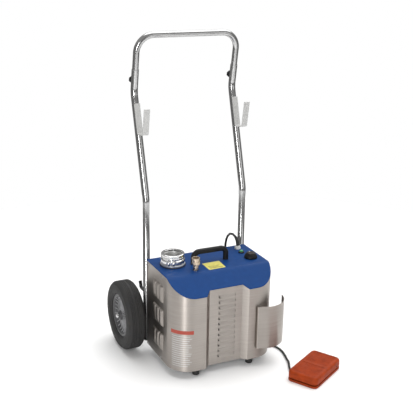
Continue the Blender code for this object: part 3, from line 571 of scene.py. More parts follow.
def extruded(name, outline, low, high, axis="Z"):
    """A closed outline extruded from low to high. Along X it holds (y, z), and along Y (x, z)."""
    spread = {
        "X": lambda u, v, w: (w, u, v),
        "Y": lambda u, v, w: (u, w, v),
        "Z": lambda u, v, w: (u, v, w),
    }[axis]
    bm = bmesh.new()
    ends = [[bm.verts.new(spread(u, v, w)) for u, v in outline] for w in (low, high)]
    for end in ends:
        bm.faces.new(end)
    add_sides(bm, ends)
    return mesh_of(bm, name)


def boxed(name, low, high):
    outline = [(low[0], low[1]), (high[0], low[1]), (high[0], high[1]), (low[0], high[1])]
    return extruded(name, outline, low[2], high[2])


def strip(path, thickness):
    """The outline of a sheet of this thickness whose middle follows a path in a plane."""
    path = [Vector(point) for point in path]
    left, right = [], []
    for number, point in enumerate(path):
        ahead = path[min(number + 1, len(path) - 1)] - point
        behind = point - path[max(number - 1, 0)]
        along = (ahead.normalized() + behind.normalized()).normalized()
        across = Vector((-along.y, along.x))
        bend = max(0.5, along.dot((ahead if ahead.length else behind).normalized()))
        left.append(point + across * thickness / 2 / bend)
        right.append(point - across * thickness / 2 / bend)
    return left + right[::-1]


def merged(name, shapes):
    """Several meshes as one mesh of separate shapes. A shape is a mesh, or a mesh with its matrix."""
    bm = bmesh.new()
    for shape in shapes:
        mesh, place = shape if isinstance(shape, tuple) else (shape, Matrix.Identity(4))
        mesh.transform(place)
        bm.from_mesh(mesh)
    return shaded(bm, name)


def cut(mesh, cutters):
    """The mesh with the cutters' volume taken away."""
    target, tool = placed("cut target", mesh), placed("cut tool", merged("cut tool", cutters))
    change = target.modifiers.new("cut", "BOOLEAN")
    change.operation = "DIFFERENCE"
    change.solver = "EXACT"
    change.use_self = True
    change.object = tool
    bpy.context.view_layer.update()
    made = bpy.data.meshes.new_from_object(target.evaluated_get(bpy.context.evaluated_depsgraph_get()))
    for part in (target, tool):
        bpy.data.objects.remove(part, do_unlink=True)
    made.shade_smooth()
    made.set_sharp_from_angle(angle=math.radians(SHARP))
    return made


def facing(direction, place=(0, 0, 0)):
    """Turns a piece's own Z to a direction, at a place."""
    return Matrix.Translation(place) @ Vector(direction).to_track_quat("Z", "Y").to_matrix().to_4x4()


def here(*place):
    return Matrix.Translation(Vector(place))


# Camera and cords.


def make_camera():
    azimuth, elevation, roll = (math.radians(angle) for angle in CAMERA_ANGLES)
    level = math.cos(elevation)
    forward = Vector((-math.sin(azimuth) * level, math.cos(azimuth) * level, -math.sin(elevation)))
    right = forward.cross(Z).normalized()
    up = right.cross(forward)
    tilted_right = math.cos(roll) * right + math.sin(roll) * up
    tilted_up = math.cos(roll) * up - math.sin(roll) * right
    turn = Matrix((tilted_right, tilted_up, -forward)).transposed().to_4x4()
    place = here(*(MACHINE + Vector(CAMERA_PLACE)))
    camera = placed("camera", bpy.data.cameras.new("camera"), place @ turn)
    camera.data.sensor_width = 36.0
    camera.data.lens = CAMERA_LENS
    camera.data.clip_end = 200.0
    bpy.context.scene.camera = camera


MAINS_ROUTE = mm(
    (152, -35, 372.4), (151.6, -33.5, 384), (150, -27.5, 395.5), (147, -16.5, 405),
    (143.5, -3.5, 408.5), (140, 9, 404.5), (137, 20, 392), (135, 27, 374), (134, 30.5, 350),
    (134, 32, 310), (135, 32.5, 250), (137, 32.5, 180), (140, 32.5, 120), (145, 33, 75), (152, 36, 42),
    (161, 43, 19), (170.5, 57, 7), (177, 77, 4.6), (179.7, 100, 4.6), (179.8, 120, 4.6),
)

FOOT_ROUTE_TO_COIL = mm(
    (30, 26.4, 105), (30.2, 37, 103), (30.8, 46.5, 95), (31.6, 52, 80), (32.4, 54.5, 60),
    (33.4, 57, 38), (34.8, 63, 19), (36.6, 76, 7), (38.2, 95, 4.1), (39.2, 118, 4.1),
)

FOOT_ROUTE_FROM_COIL = mm(
    (-64, 89.5, 4.1), (-48, 72, 4.1), (-18, 42, 4.1), (25, 4, 4.1), (75, -38, 4.1), (125, -76, 4.1),
    (175, -110, 4.1), (218, -138, 4.1), (245, -168, 4.1), (253, -205, 4.1), (247, -245, 4.1),
    (237, -278, 4.4), (230, -302, 5.5),
)


def on_pedal(u, v, z=0.0):
    along, across = math.cos(PEDAL_TURN), math.sin(PEDAL_TURN)
    return (PEDAL_CENTRE[0] + u * along - v * across, PEDAL_CENTRE[1] + u * across + v * along, z)


def coil_turns(centre, arriving, places, start, sweep, per_turn=32):
    """Turns from the arriving (radius, z) through each (radius, z) place in order, one full turn at each.

    Angles are in degrees. The cord reaches its first place in the lead_in share of a turn, and moves over
    to the next place in the last and first move shares of two turns.
    """
    lead_in, move = 0.3, 0.16
    found = []
    steps = round(sweep / 360 * per_turn)
    for step in range(1, steps + 1):
        swung = sweep * step / steps
        number = min(int(swung / 360), len(places) - 1)
        share = swung / 360 - number
        after = places[number]
        if number == 0 and share < lead_in:
            before, mix = arriving, share / lead_in
        elif number > 0 and share < move:
            before, mix = places[number - 1], 0.5 + share / (2 * move)
        elif share > 1 - move and number + 1 < len(places):
            before, mix = after, (share - 1 + move) / (2 * move)
            after = places[number + 1]
        else:
            before, mix = after, 1.0
        mix = mix * mix * (3 - 2 * mix)
        radius = before[0] + (after[0] - before[0]) * mix
        z = before[1] + (after[1] - before[1]) * mix
        angle = math.radians(start + swung)
        found.append(Vector((centre[0] + radius * math.cos(angle), centre[1] + radius * math.sin(angle), z)))
    return found


def bundle(middle, diameter, low):
    """Places (radius, z) of seven turns packed two, three, two, by column and layer."""
    rise = diameter * math.sin(math.radians(60))
    columns = {"bottom": (-0.5, 0.5), "middle": (-1, 0, 1), "top": (-0.5, 0.5)}
    return {
        (layer, number): (middle + column * diameter, low + level * rise)
        for level, layer in enumerate(columns)
        for number, column in enumerate(columns[layer])
    }


# The order in which a cord's turns fill those places, so that each lies on the ones before it.
MAINS_ORDER = [
    ("bottom", 1), ("bottom", 0), ("middle", 0), ("middle", 1), ("top", 0), ("middle", 2), ("top", 1),
]
FOOT_ORDER = MAINS_ORDER[:5] + [("top", 1), ("middle", 2)]


def polar(point, centre):
    """A point's radius and angle in degrees about a centre, in plan."""
    across, along = point[0] - centre[0], point[1] - centre[1]
    return math.hypot(across, along), math.degrees(math.atan2(along, across))


def cord_curve(name, points, radius, look, stands_for):
    curve = bpy.data.curves.new(name, "CURVE")
    curve.dimensions = "3D"
    curve.bevel_depth = radius
    curve.bevel_resolution = 6
    curve.use_fill_caps = True
    spline = curve.splines.new("POLY")
    spline.points.add(len(points) - 1)
    for point, place in zip(spline.points, points):
        point.co = (*place, 1)
    spline.use_smooth = True
    return piece(name, curve, look, stands_for=stands_for)


def relief_section(radius, start, end):
    """Ribbed and tapered from the start radius to the cord's."""
    def section(part, number):
        base = start + (end - start) * part
        rib = 0.0007 if number % 4 in (1, 2) and 0.06 < part < 0.94 else 0.0
        return circle(max(radius, base + rib), 28)
    return section


def make_plug():
    """A moulded plug lying on the coil, with two flat blades."""
    half = 0.0275
    stations = [
        (-half, 0.0058, 0.0058, 2.0), (-half + 0.001, 0.0064, 0.0064, 2.0),
        (-0.019, 0.0074, 0.007, 2.2), (-0.013, 0.0092, 0.0082, 2.6), (-0.006, 0.012, 0.0098, 3.2),
        (0.002, 0.0136, 0.0107, 3.6), (0.012, 0.0139, 0.0109, 4.0), (0.0245, 0.0139, 0.0109, 4.4),
        (0.0268, 0.0132, 0.0102, 4.4), (half, 0.0118, 0.009, 4.4),
    ]
    path = spaced([Vector((x, 0, 0)) for x, *_ in stations], 0.0011)

    def section(part, number):
        x = -half + 2 * half * part
        for low, high in zip(stations, stations[1:]):
            if x <= high[0] + 1e-9:
                share = (x - low[0]) / (high[0] - low[0])
                break
        width, height, power = (low[k] + (high[k] - low[k]) * share for k in (1, 2, 3))
        groove = 0.0006 if number % 4 == 0 and -0.022 < x < -0.004 else 0.0
        return superellipse(width - groove, height - groove, power, 40)

    place = (MAINS_COIL[0], MAINS_COIL[1] - 0.044, 0.036)
    shell = swept("plug_body", path, section)
    body = piece("plug_body", shell, "black_rubber", at=place, stands_for="mains_plug")
    blades = [
        boxed("blade", (0.0265, y - 0.0008, -0.0032), (0.045, y + 0.0008, 0.0032))
        for y in (-0.0064, 0.0064)
    ]
    pins = piece("plug_blades", blades, "brass", at=place, bevel=0.0005)
    return [body, pins]


def make_mains_lead():
    seats = bundle(0.047, 0.0087, MAINS_LIES_AT)
    places = [seats[key] for key in MAINS_ORDER]
    route = smooth_path(MAINS_ROUTE, 0.0165)
    radius, start = polar(MAINS_ROUTE[-1], MAINS_COIL)
    turns = coil_turns(MAINS_COIL, (radius, MAINS_LIES_AT), places, start, 6 * 360 + 178)
    x, y = MAINS_COIL
    rise = turns[-2:] + [
        (x - 0.049, y - 0.018, 0.0275), (x - 0.04, y - 0.0335, 0.033),
        (x - 0.033, y - 0.041, 0.0356), (x - 0.0278, y - 0.044, 0.036),
    ]
    points = route + turns[:-1] + smooth_path(rise, 0.01)[1:]
    lead = cord_curve("mains_lead", points, MAINS_RADIUS, "black_rubber", ("mains_cord", "mains_coil"))
    ribbed = swept("mains_relief", spaced(route[:4], 0.0014)[:26], relief_section(0.0046, 0.0066, 0.0046))
    relief = piece("mains_relief", ribbed, "black_rubber", stands_for="cord_relief")
    plug = make_plug()


def make_foot_lead():
    seats = bundle(0.0425, 0.0077, FOOT_LEAD_LIES_AT)
    places = [seats[key] for key in FOOT_ORDER]
    path_in = [Vector(FOOT_GLAND) + 0.014 * Y] + [Vector(p) for p in FOOT_ROUTE_TO_COIL]
    path_in = smooth_path(path_in, 0.018)
    radius, start = polar(FOOT_ROUTE_TO_COIL[-1], FOOT_COIL)
    end = polar(FOOT_ROUTE_FROM_COIL[0], FOOT_COIL)[1] % 360
    sweep = 6 * 360 + end - 50 - start
    turns = coil_turns(FOOT_COIL, (radius, FOOT_LEAD_LIES_AT), places, start, sweep)
    leaving = math.radians(end - 22)
    off = here(*FOOT_COIL, 0.0062) @ Vector((0.0555 * math.cos(leaving), 0.0555 * math.sin(leaving), 0))
    route = [Vector(p) for p in FOOT_ROUTE_FROM_COIL]
    route += [Vector(on_pedal(LEAD_U, v, 0.0062)) for v in (0.08, 0.069, 0.058)]
    path_out = smooth_path([turns[-2], turns[-1], off] + route, 0.02)
    points = path_in + turns[:-1] + path_out[1:]
    nodes = ("foot_cord_to_coil", "foot_coil", "foot_cord")
    lead = cord_curve("foot_switch_lead", points, FOOT_LEAD_RADIUS, "black_rubber", nodes)
    nut = mm((4.2, 18), (6.6, 18), (7.8, 11), (4.2, 11))
    gland = gland_shapes(nut, (12, 0.06), (0.0105, 0.0108), (0.0061, -0.014), 48)
    piece(
        "foot_lead_nut", gland, "black_plastic", at=FOOT_GLAND, turn=facing(Y),
        stands_for="foot_lead_gland",
    )


def gland_shapes(nut, grooves, base, thread, steps):
    """A grooved nut on a six-sided base, each (radius, z), with a thread through the sheet below them."""
    bore = nut[0][0]
    return [
        lathed("nut", nut, steps, 0.0006, flutes(*grooves, power=2)),
        lathed("base", ring(bore, base[0], GAP, base[1]), steps, 0.0005, hexagon),
        lathed("thread", ring(bore, thread[0], thread[1], GAP), 48),
    ]


# The casing and its cover.


def casing_outline(inset=0.0, rear=0.0, steps=20):
    """Plan of the casing, from its rear left corner round the front to its rear right corner."""
    side, front, radius = WIDTH / 2 - inset, -DEPTH + inset, CORNER - inset
    shift = inset * math.tan(math.radians(22.5))
    middle = (WIDTH / 2 - CORNER, -DEPTH + CORNER)
    left = [(-side, rear)] + arc((-middle[0], middle[1]), radius, 180, 270, steps)
    left += [(-RECESS_HALF - RECESS - shift, front), (-RECESS_HALF - shift, front + RECESS)]
    return left + [(-x, y) for x, y in reversed(left)]


def cover_height(y):
    slope = (TOP - FRONT_TOP) / (DEPTH - FOLD)
    return TOP - max(0.0, -y - FOLD) * slope


def make_casing():
    """One bent sheet, open at the rear between its return flanges, with louvre and vent openings."""
    bend = 0.0035
    half = SHEET / 2
    plan = casing_outline(half, -half)
    corners = len(plan) // 2
    left = [Vector(p) for p in plan[:corners]]
    front_bends = rounded(left[-4:], bend, 3)
    left = [Vector((-0.16, -half))] + rounded([(-0.16, -half), plan[0], plan[1]], bend, 4)[1:-1]
    left += [Vector(p) for p in plan[1:corners - 2]] + front_bends[1:]
    path = left + [Vector((-p.x, p.y)) for p in reversed(left)]
    shell = extruded("casing", strip(path, SHEET), FLOOR_GAP, TOP - COVER_SHEET - GAP)
    for vertex in shell.vertices:
        if vertex.co.z > FLOOR_GAP + 0.001:
            vertex.co.z = cover_height(vertex.co.y) - COVER_SHEET - GAP
    openings = []
    for z in louvre_heights():
        y = -DEPTH + RECESS
        low, high = (-0.0283, y - 0.004, z - 0.0048), (0.0373, y + 0.006, z + 0.0052)
        openings.append(boxed("slot", low, high))
    for side in (-1, 1):
        for y in VENT_COLUMNS:
            for z in VENT_ROWS:
                low = (side * WIDTH / 2 - 0.006, y - 0.004, z - 0.0265)
                high = (side * WIDTH / 2 + 0.006, y + 0.01, z + 0.0265)
                openings.append(boxed("vent", low, high))
    piece("casing", cut(shell, openings), "stainless", stands_for="casing_shell")


def louvre_heights():
    for number in range(LOUVRES):
        yield LOUVRE_LOW + (LOUVRE_HIGH - LOUVRE_LOW) * number / (LOUVRES - 1)


def double_sheet(name, outer, inner, sharp=SHARP):
    """A closed sheet between two grids of points with the same rows and columns."""
    bm = bmesh.new()
    outer, inner = ([[bm.verts.new(point) for point in row] for row in grid] for grid in (outer, inner))
    rows, columns = len(outer) - 1, len(outer[0]) - 1
    for grid in (outer, inner):
        for first, second in zip(grid, grid[1:]):
            for k in range(columns):
                bm.faces.new((first[k], first[k + 1], second[k + 1], second[k]))
    for row in range(rows):
        for k in (0, columns):
            bm.faces.new((outer[row][k], outer[row + 1][k], inner[row + 1][k], inner[row][k]))
    for row in (0, rows):
        for k in range(columns):
            bm.faces.new((outer[row][k], outer[row][k + 1], inner[row][k + 1], inner[row][k]))
    return mesh_of(bm, name, sharp)


def louvre_flap():
    """A lanced tongue, pushed outwards at its foot and narrower there, in x and z with -Y outwards."""
    gauge = 0.0011
    rows = mm((6.2, 0.3, 32.8), (4.6, 0.6, 32.2), (2, 1.6, 30.6), (-4.6, 4.6, 26.8), (-6.2, 5.2, 26.2))
    outer = [[(-half, -out, z), (half, -out, z)] for z, out, half in rows]
    inner = [[(-half, gauge - out, z), (half, gauge - out, z)] for z, out, half in rows]
    return double_sheet("louvre_flap", outer, inner)


def vent_hood(side):
    """A tall pressed hood, flush at its front edge and open at its rear edge, on the casing's side."""
    columns, rows, gauge = 12, 28, 0.001
    rise, half_z, half_y = 0.0062, 0.0315, 0.0128

    def point(row, column, depth):
        u, v = column / columns, 2 * row / rows - 1
        dome = math.sin(0.5 * math.pi * min(1.0, u * 1.25)) ** 0.8 * (1 - abs(v) ** 5) ** 0.6
        return (side * (rise * dome - depth + 0.0002), -half_y + 2 * half_y * u, v * (half_z - depth * 0.4))

    outer, inner = (
        [[point(row, column, depth) for column in range(columns + 1)] for row in range(rows + 1)]
        for depth in (0.0, gauge)
    )
    return double_sheet("vent_hood", outer, inner, 50)


def make_louvres():
    flaps = [(louvre_flap(), here(0.0045, -DEPTH + RECESS, z)) for z in louvre_heights()]
    piece("front_louvres", flaps, "stainless")
    for side, word in SIDES:
        hoods = [
            (vent_hood(side), here(side * WIDTH / 2, y, z))
            for y in VENT_COLUMNS
            for z in VENT_ROWS
        ]
        piece(f"{word}_vents", hoods, "stainless")


def make_cover():
    """The folded sheet with a softened fold, its skirt inside the casing, and holes for what stands on it."""
    plan = casing_outline(-0.0005, 0.0)
    bm = bmesh.new()
    bm.faces.new([bm.verts.new((x, y, 0)) for x, y in rounded(plan, 0.003, 4, closed=True)])
    for offset in (-0.009, -0.006, -0.003, 0.0, 0.003, 0.006, 0.009):
        bmesh.ops.bisect_plane(
            bm, geom=bm.verts[:] + bm.edges[:] + bm.faces[:], plane_co=(0, -FOLD + offset, 0), plane_no=Y
        )
    slope = (TOP - FRONT_TOP) / (DEPTH - FOLD)
    for vertex in bm.verts:
        past = -vertex.co.y - FOLD
        reach = 0.009
        drop = slope * (past + reach) ** 2 / (4 * reach) if abs(past) < reach else slope * max(0.0, past)
        vertex.co.z = TOP - drop
    top_faces = bm.faces[:]
    solid = bmesh.ops.extrude_face_region(bm, geom=top_faces)
    lower = [g for g in solid["geom"] if isinstance(g, bmesh.types.BMVert)]
    bmesh.ops.translate(bm, vec=(0, 0, -COVER_SHEET), verts=lower)
    sheet = mesh_of(bm, "cover", 25)
    round_holes = ((COLLAR, 0.0312), (INLET, 0.0084), (GLAND, 0.0064), (SWITCH, 0.0052), (LAMP, 0.0074))
    holes = [
        (lathed("hole", ring(0, radius, -0.02, 0.02), 48), here(*place, TOP))
        for place, radius in round_holes
    ]
    piece("cover", cut(sheet, holes), "blue_paint", stands_for="top_cover", bevel=0.0009)
    inset = 0.0032
    wall = casing_outline(inset, -inset)
    skirt = extruded("cover_skirt", strip(wall, 0.0016), TOP - 0.018, TOP - COVER_SHEET)
    for vertex in skirt.vertices:
        vertex.co.z += cover_height(vertex.co.y) - TOP
    piece("cover_skirt", skirt, "blue_paint")


def screw_head(radius=0.0042, height=0.0022):
    """A pan head with a cross recess."""
    crown = [(0, height), (radius * 0.55, height * 0.96), (radius * 0.9, height * 0.6)]
    dome = crown + [(radius, 0.0), (0, 0.0)]
    low, high = (-radius * 0.5, -0.0004, height * 0.45), (radius * 0.5, 0.0004, 0.01)
    bars = [
        (boxed("bar", low, high), Matrix.Rotation(turn, 4, "Z"))
        for turn in (math.radians(20), math.radians(110))
    ]
    return cut(lathed("screw", dome, 32, 0.0003), bars)


def make_screws():
    high, low = TOP - 0.0125, FLOOR_GAP + 0.008
    case_screws = [
        (screw_head(), facing(side * X, (side * (WIDTH / 2 + 0.0001), y, z)))
        for side in (-1, 1)
        for y, z in ((-0.02, high), (-0.148, high), (-0.02, low), (-0.133, low))
    ]
    piece("case_screws", case_screws, "zinc")
    bolts = []
    for x in (-BOLT_X, BOLT_X):
        for z in CROSSBARS:
            head = mm((0, 6.2), (4.2, 6.2), (5.8, 5.2), (5.8, 1.2), (0, 1.2))
            washer = ring(0.0034, 0.0072, 0.0, 0.0011)
            shank = ring(0, 0.003, -0.02, 0.0012)
            for profile, ripple in ((head, hexagon), (washer, None), (shank, None)):
                bolts.append((lathed("bolt", profile, 48, 0.0002, ripple), facing(Y, (x, 0.0147, z))))
    piece("frame_bolts", bolts, "zinc")


def make_feet():
    profile = mm((0, 30.6), (11, 30.6), (12.5, 20), (13, 6), (12.2, 0), (6, 0), (0, 1.5))
    for side, word in SIDES:
        at = (side * 0.105, -0.231, 0)
        shape = (profile, 48, 0.0012)
        turned(f"{word}_rubber_foot", "black_rubber", shape, at=at, stands_for=f"{word}_foot")


# The cart.


def lean(first, second):
    return (Vector((0, *second)) - Vector((0, *first))).normalized()


HANDLE_LEAN = lean(ELBOW, HANDLE_TOP)
STUD = Vector((0, HANDLE_LEAN.z, -HANDLE_LEAN.y))


def past_elbow(x, distance):
    return Vector((x, *ELBOW)) + HANDLE_LEAN * distance


def make_upright(word, side):
    x = side * TUBE_X
    corners = [(x, TUBE_Y, 0.04), (x, *KINK), (x, *ELBOW), past_elbow(x, UPRIGHT_END)]
    path = rounded(corners, 0.075, 14)
    path = [path[0], path[0] + Z * 0.0004] + path[1:]
    tube = swept(f"{word}_tube", path, round_section(TUBE_RADIUS, 44), bore=(TUBE_BORE, 0.06))
    slit = boxed("slit", (-0.0015, -0.02, -0.028), (0.0015, 0.0, 0.04))
    rear = here(*past_elbow(x, UPRIGHT_END - 0.02)) @ Matrix((X, -STUD, HANDLE_LEAN)).transposed().to_4x4()
    tube = cut(tube, [(slit, rear)])
    piece(f"{word}_tube", tube, "tube_chrome", slot="chrome", stands_for=f"{word}_upright", bevel=0.0004)
    plug = mm((0, 0), (12.8, 0), (12.8, -3), (10, -5), (0, -5))
    turned(f"{word}_tube_cap", "black_plastic", (plug, 40, 0.001), at=(x, TUBE_Y, 0.04))


def make_handle():
    length = (Vector((0, *HANDLE_TOP)) - Vector((0, *ELBOW))).length
    ends = ((-TUBE_X, 0.024), (-TUBE_X, length), (TUBE_X, length), (TUBE_X, 0.024))
    corners = [past_elbow(x, distance) for x, distance in ends]
    bar = swept("handle_bar", rounded(corners, 0.06, 24), round_section(HANDLE_RADIUS, 44))
    piece("handle_bar", bar, "tube_chrome", body="handle", slot="chrome", stands_for="upper_handle")


def make_clamp_knob(word, side):
    grip = mm(
        (0, 30.8), (6, 30.8), (10, 29.6), (12.4, 26.2), (12.8, 21.5), (12, 17.5), (7.8, 15.7),
        (4, 15.5), (0, 15.5),
    )
    stud = ring(0, 0.0031, 0.0119, 0.0157)
    wave = flutes(7, 0.1, 0.016, 0.03)
    at, turn = past_elbow(side * TUBE_X, KNOB_AT), facing(STUD)
    body = f"{word}_knob"
    turned(
        f"{word}_knob_grip", "black_plastic", (grip, 84, 0.0008, wave), body=body, at=at, turn=turn,
        stands_for=f"{word}_clamp_knob",
    )
    turned(f"{word}_knob_stud", "zinc", (stud, 32, 0.0002), body=body, at=at, turn=turn)


def make_hook(word, side):
    corners = mm((95.8, 900), (65, 797), (16, 806), (1, 897))
    outline = strip(rounded(corners, 0.01, 8), 0.003)
    middle = side * TUBE_X
    mesh = extruded(f"{word}_shaft_hook", outline, middle - 0.011, middle + 0.011, axis="X")
    piece(f"{word}_shaft_hook", mesh, "grey_paint", stands_for=f"{word}_hook", bevel=0.0009)
    rivets = []
    for share in (0.22, 0.62):
        first, last = Vector((middle, *corners[1])), Vector((middle, *corners[0]))
        place = first.lerp(last, share)
        front = Vector((0, -(last - first).z, (last - first).y)).normalized()
        dome = mm((0, 1.6), (2.2, 1.2), (3.4, 0), (0, 0))
        rivets.append((lathed("rivet", dome, 24, 0.0003), facing(front, place + front * 0.0015)))
    piece(f"{word}_hook_rivets", rivets, "grey_paint")


def make_cord_hook():
    start = TUBE_Y + TUBE_RADIUS + GAP
    outline = strip(rounded([(start, 0.222), (0.07, 0.222), (0.078, 0.245)], 0.008, 6), 0.005)
    mesh = extruded("winding_hook", outline, -TUBE_X - 0.006, -TUBE_X + 0.006, axis="X")
    piece("winding_hook", mesh, "black_plastic", stands_for="cord_hook", bevel=0.0012)


def make_crossbars():
    reach = TUBE_X - TUBE_RADIUS - 0.0006
    for word, z in zip(("lower", "upper"), CROSSBARS):
        mesh = boxed(f"{word}_bar", (-reach, 0.0026, z - 0.0125), (reach, 0.0146, z + 0.0125))
        piece(f"{word}_bar", mesh, "black_paint", stands_for=f"{word}_crossbar", bevel=0.0022)


def make_axle_parts():
    front = TUBE_Y + TUBE_RADIUS + GAP
    outline = [(front, 0.092), (front, 0.168), (0.04, 0.168)]
    outline += arc((AXLE_Y, WHEEL_RADIUS), 0.018, 60, -60, 14) + [(0.04, 0.092)]
    for side, word in SIDES:
        middle = side * TUBE_X
        plate = extruded("plate", outline, middle - 0.0025, middle + 0.0025, axis="X")
        hole = lathed("hole", ring(0, 0.0083, -0.01, 0.01), 48)
        plate = cut(plate, [(hole, facing(X, (middle, AXLE_Y, WHEEL_RADIUS)))])
        piece(f"{word}_axle_plate", plate, "black_paint", stands_for=f"{word}_axle_bracket", bevel=0.0008)
        dome = mm(
            (0, 0), (4, -0.4), (7, -1.8), (9.2, -4.5), (10, -8.5), (8.3, -8.5), (8.3, -4.8), (0, -4.8),
        )
        turned(
            f"{word}_axle_cap", "chrome", (dome, 56, 0.0005), at=(side * HUB_END, AXLE_Y, WHEEL_RADIUS),
            turn=facing(side * X), stands_for=f"{word}_hub_nut",
        )
    half, square = 0.2843, 0.2835
    bar = [(0, half), (0.0074, half), (0.008, square), (0.008, -square), (0.0074, -half), (0, -half)]
    turned("axle_bar", "zinc", (bar, 48), at=(0, AXLE_Y, WHEEL_RADIUS), turn=facing(X), stands_for="axle")


def make_tyre(word, side):
    """Moulded tyre with a ridge on its sidewall and ribs round its tread."""
    edge = WHEEL_RADIUS
    half = [(edge - 0.0003, 0.0)]
    for groove in (0.006, 0.0125, 0.019):
        half += [
            (edge - 0.0002, groove - 0.0014), (edge - 0.0022, groove - 0.0006),
            (edge - 0.0022, groove + 0.0006), (edge - 0.0003, groove + 0.0014),
        ]
    half += [
        (edge - 0.0014, 0.0235), (edge - 0.0065, 0.0298), (edge - 0.011, 0.0322),
        (edge - 0.0118, 0.0336), (edge - 0.0134, 0.0336), (edge - 0.0142, 0.0332),
        (edge - 0.023, 0.0346), (edge - 0.033, 0.0344), (edge - 0.04, 0.0326), (0.0826, 0.0292),
        (0.08, 0.0278), (0.079, 0.0262),
    ]
    profile = half[:0:-1] + half[:1] + [(radius, -z) for radius, z in half[1:]]
    at = (side * WHEEL_MIDDLE, AXLE_Y, WHEEL_RADIUS)
    turned(
        f"{word}_wheel_tyre", "tyre_rubber", (profile, 160, 0.0012), body=f"{word}_wheel", at=at,
        turn=facing(side * X), stands_for=f"{word}_tyre",
    )


def make_rim(word, side, ribs=24):
    """A moulded rim: channel, dished web, hub with a stepped boss, and thin radial ribs on its outer face."""
    profile = mm(
        (8.1, 29.6), (13, 29.6), (14.6, 27), (17.2, 26.2), (19, 16.5), (30, 12), (56, 10.5), (64, 15),
        (68, 22.5), (71.5, 24.6), (78.7, 25), (78.7, -25), (69, -25), (64, 5), (20, 5), (16, -51),
        (8.1, -51),
    )
    fin = mm((16.5, 12), (16.5, 21.5), (30, 16.6), (56, 15), (68, 21.2), (69, 12))
    shapes = []
    for number in range(ribs):
        turn = Matrix.Rotation(2 * math.pi * number / ribs, 4, "Z")
        shapes.append((extruded("fin", fin, -0.001, 0.001, axis="Y"), turn))
    at, face = (side * WHEEL_MIDDLE, AXLE_Y, WHEEL_RADIUS), facing(side * X)
    body = f"{word}_wheel"
    turned(
        f"{word}_wheel_rim", "rim_grey", (profile, 120, 0.0014), body=body, at=at, turn=face,
        stands_for=f"{word}_rim",
    )
    # The ribs get a lighter grey than the rim they are moulded with: painted light and shade between ribs and
    # web.
    piece(
        f"{word}_wheel_ribs", shapes, "rim_rib_lit_copy", body=body, at=at,
        turn=face, slot="rim_grey", bevel=0.0004,
    )


# What stands on the cover.


def make_coupling():
    gasket = ring(0.0318, 0.0455, GAP, 0.003)
    turned(
        "collar_gasket", "black_rubber", (gasket, 96, 0.0008), at=(*COLLAR, TOP),
        stands_for="coupling_gasket",
    )
    neck = mm(
        (28.5, 38.5), (30.6, 38.5), (30.6, 9), (42.5, 9), (43.5, 8), (43.5, 3.3), (30.6, 3.3),
        (30.6, -40), (28.5, -40),
    )
    turned(
        "collar_neck", "satin_chrome", (neck, 96, 0.0006), at=(*COLLAR, TOP), slot="chrome",
        stands_for="coupling_base",
    )
    outer = mm(
        (30.2, 44), (31.2, 45), (37.8, 45), (40.4, 44), (41.2, 42.5), (41.2, 37.5), (40.2, 36.8),
        (40.2, 35.2), (41.2, 34.5), (41.2, 32), (39.2, 30), (38.8, 27), (42, 24.5), (43, 23),
        (43, 13.5), (41.8, 11), (39.6, 9.4), (31, 9.4), (31, 38.9), (30.2, 38.9),
    )

    lug_angle = math.radians(-120)

    def bites(angle, z):
        notch = max(0.0, math.cos(9 * (angle - lug_angle + math.pi / 9))) ** 6
        return 1.0 - 0.055 * notch if 0.01 < z < 0.025 else 1.0

    shapes = [lathed("collar", outer, 216, 0.0005, bites)]
    face = Matrix.Rotation(lug_angle, 4, "Z")
    for offset in (-0.0085, 0.0085):
        shapes.append((collar_lug(), face @ here(0.0405, offset, 0.0185)))
    piece(
        "collar_ring", shapes, "chrome", body="collar", at=(*COLLAR, TOP),
        stands_for="locking_collar",
    )
    stub = mm((0, 12), (10.5, 12), (12, 10.5), (12, -15), (6.2, -20), (0, -20))
    hole = boxed("square", (-0.0048, -0.0048, -0.006), (0.0048, 0.0048, 0.02))
    socket = cut(lathed("socket", stub, 48, 0.0003), [hole])
    piece(
        "shaft_socket", socket, "rotor_steel", body="rotor", at=(*COLLAR, TOP),
        stands_for="drive_socket", bevel=0.0004,
    )


def collar_lug():
    """A rounded finger lug, standing out from the collar along +X."""
    path = [Vector((x, 0, 0)) for x in (-0.004, -0.002, 0.001, 0.0035, 0.0055, 0.007, 0.008)]
    sizes = mm((4, 8.5), (4.2, 8.8), (4.4, 8.8), (4.3, 8.4), (3.8, 7.4), (2.9, 5.8), (1.2, 3))

    def section(part, number):
        width, height = sizes[number]
        return superellipse(width, height, 3.0, 32)
    return swept("lug", path, section)


def make_water_fittings():
    stem = mm(
        (4.5, 30), (7.6, 30), (7.6, 18), (9.2, 17.6), (9.2, 14), (8.6, 13.4), (8.6, 12.6), (9.4, 12),
        (9.4, 5), (8, 4.6), (8, -22), (4.5, -22),
    )
    hexed = ring(0.008, 0.0104, GAP, 0.0042)
    shapes = [
        lathed("stem", stem, 64, 0.0004),
        lathed("hexagon", hexed, 72, 0.0004, hexagon),
    ]
    piece("inlet_stem", shapes, "brass", at=(*INLET, TOP), stands_for="water_inlet")
    nut = mm(
        (11.2, 44.2), (11.6, 44.7), (13.6, 44.7), (14.2, 43.8), (14.2, 34.5), (13.4, 33.5),
        (13.4, 32.5), (14.2, 31.5), (14.2, 21.5), (12.5, 18), (8, 18), (8, 30.5), (11.2, 30.5),
    )
    knurl = flutes(24, 0.045, 0.021, 0.032)
    turned(
        "inlet_nut", "brass", (nut, 192, 0.0003, knurl), body="swivel", at=(*INLET, TOP),
        stands_for="water_swivel",
    )
    lining = ring(0.0078, 0.0111, 0.0308, 0.0338)
    turned("inlet_washer", "black_rubber", (lining, 64, 0.0004), body="swivel", at=(*INLET, TOP))


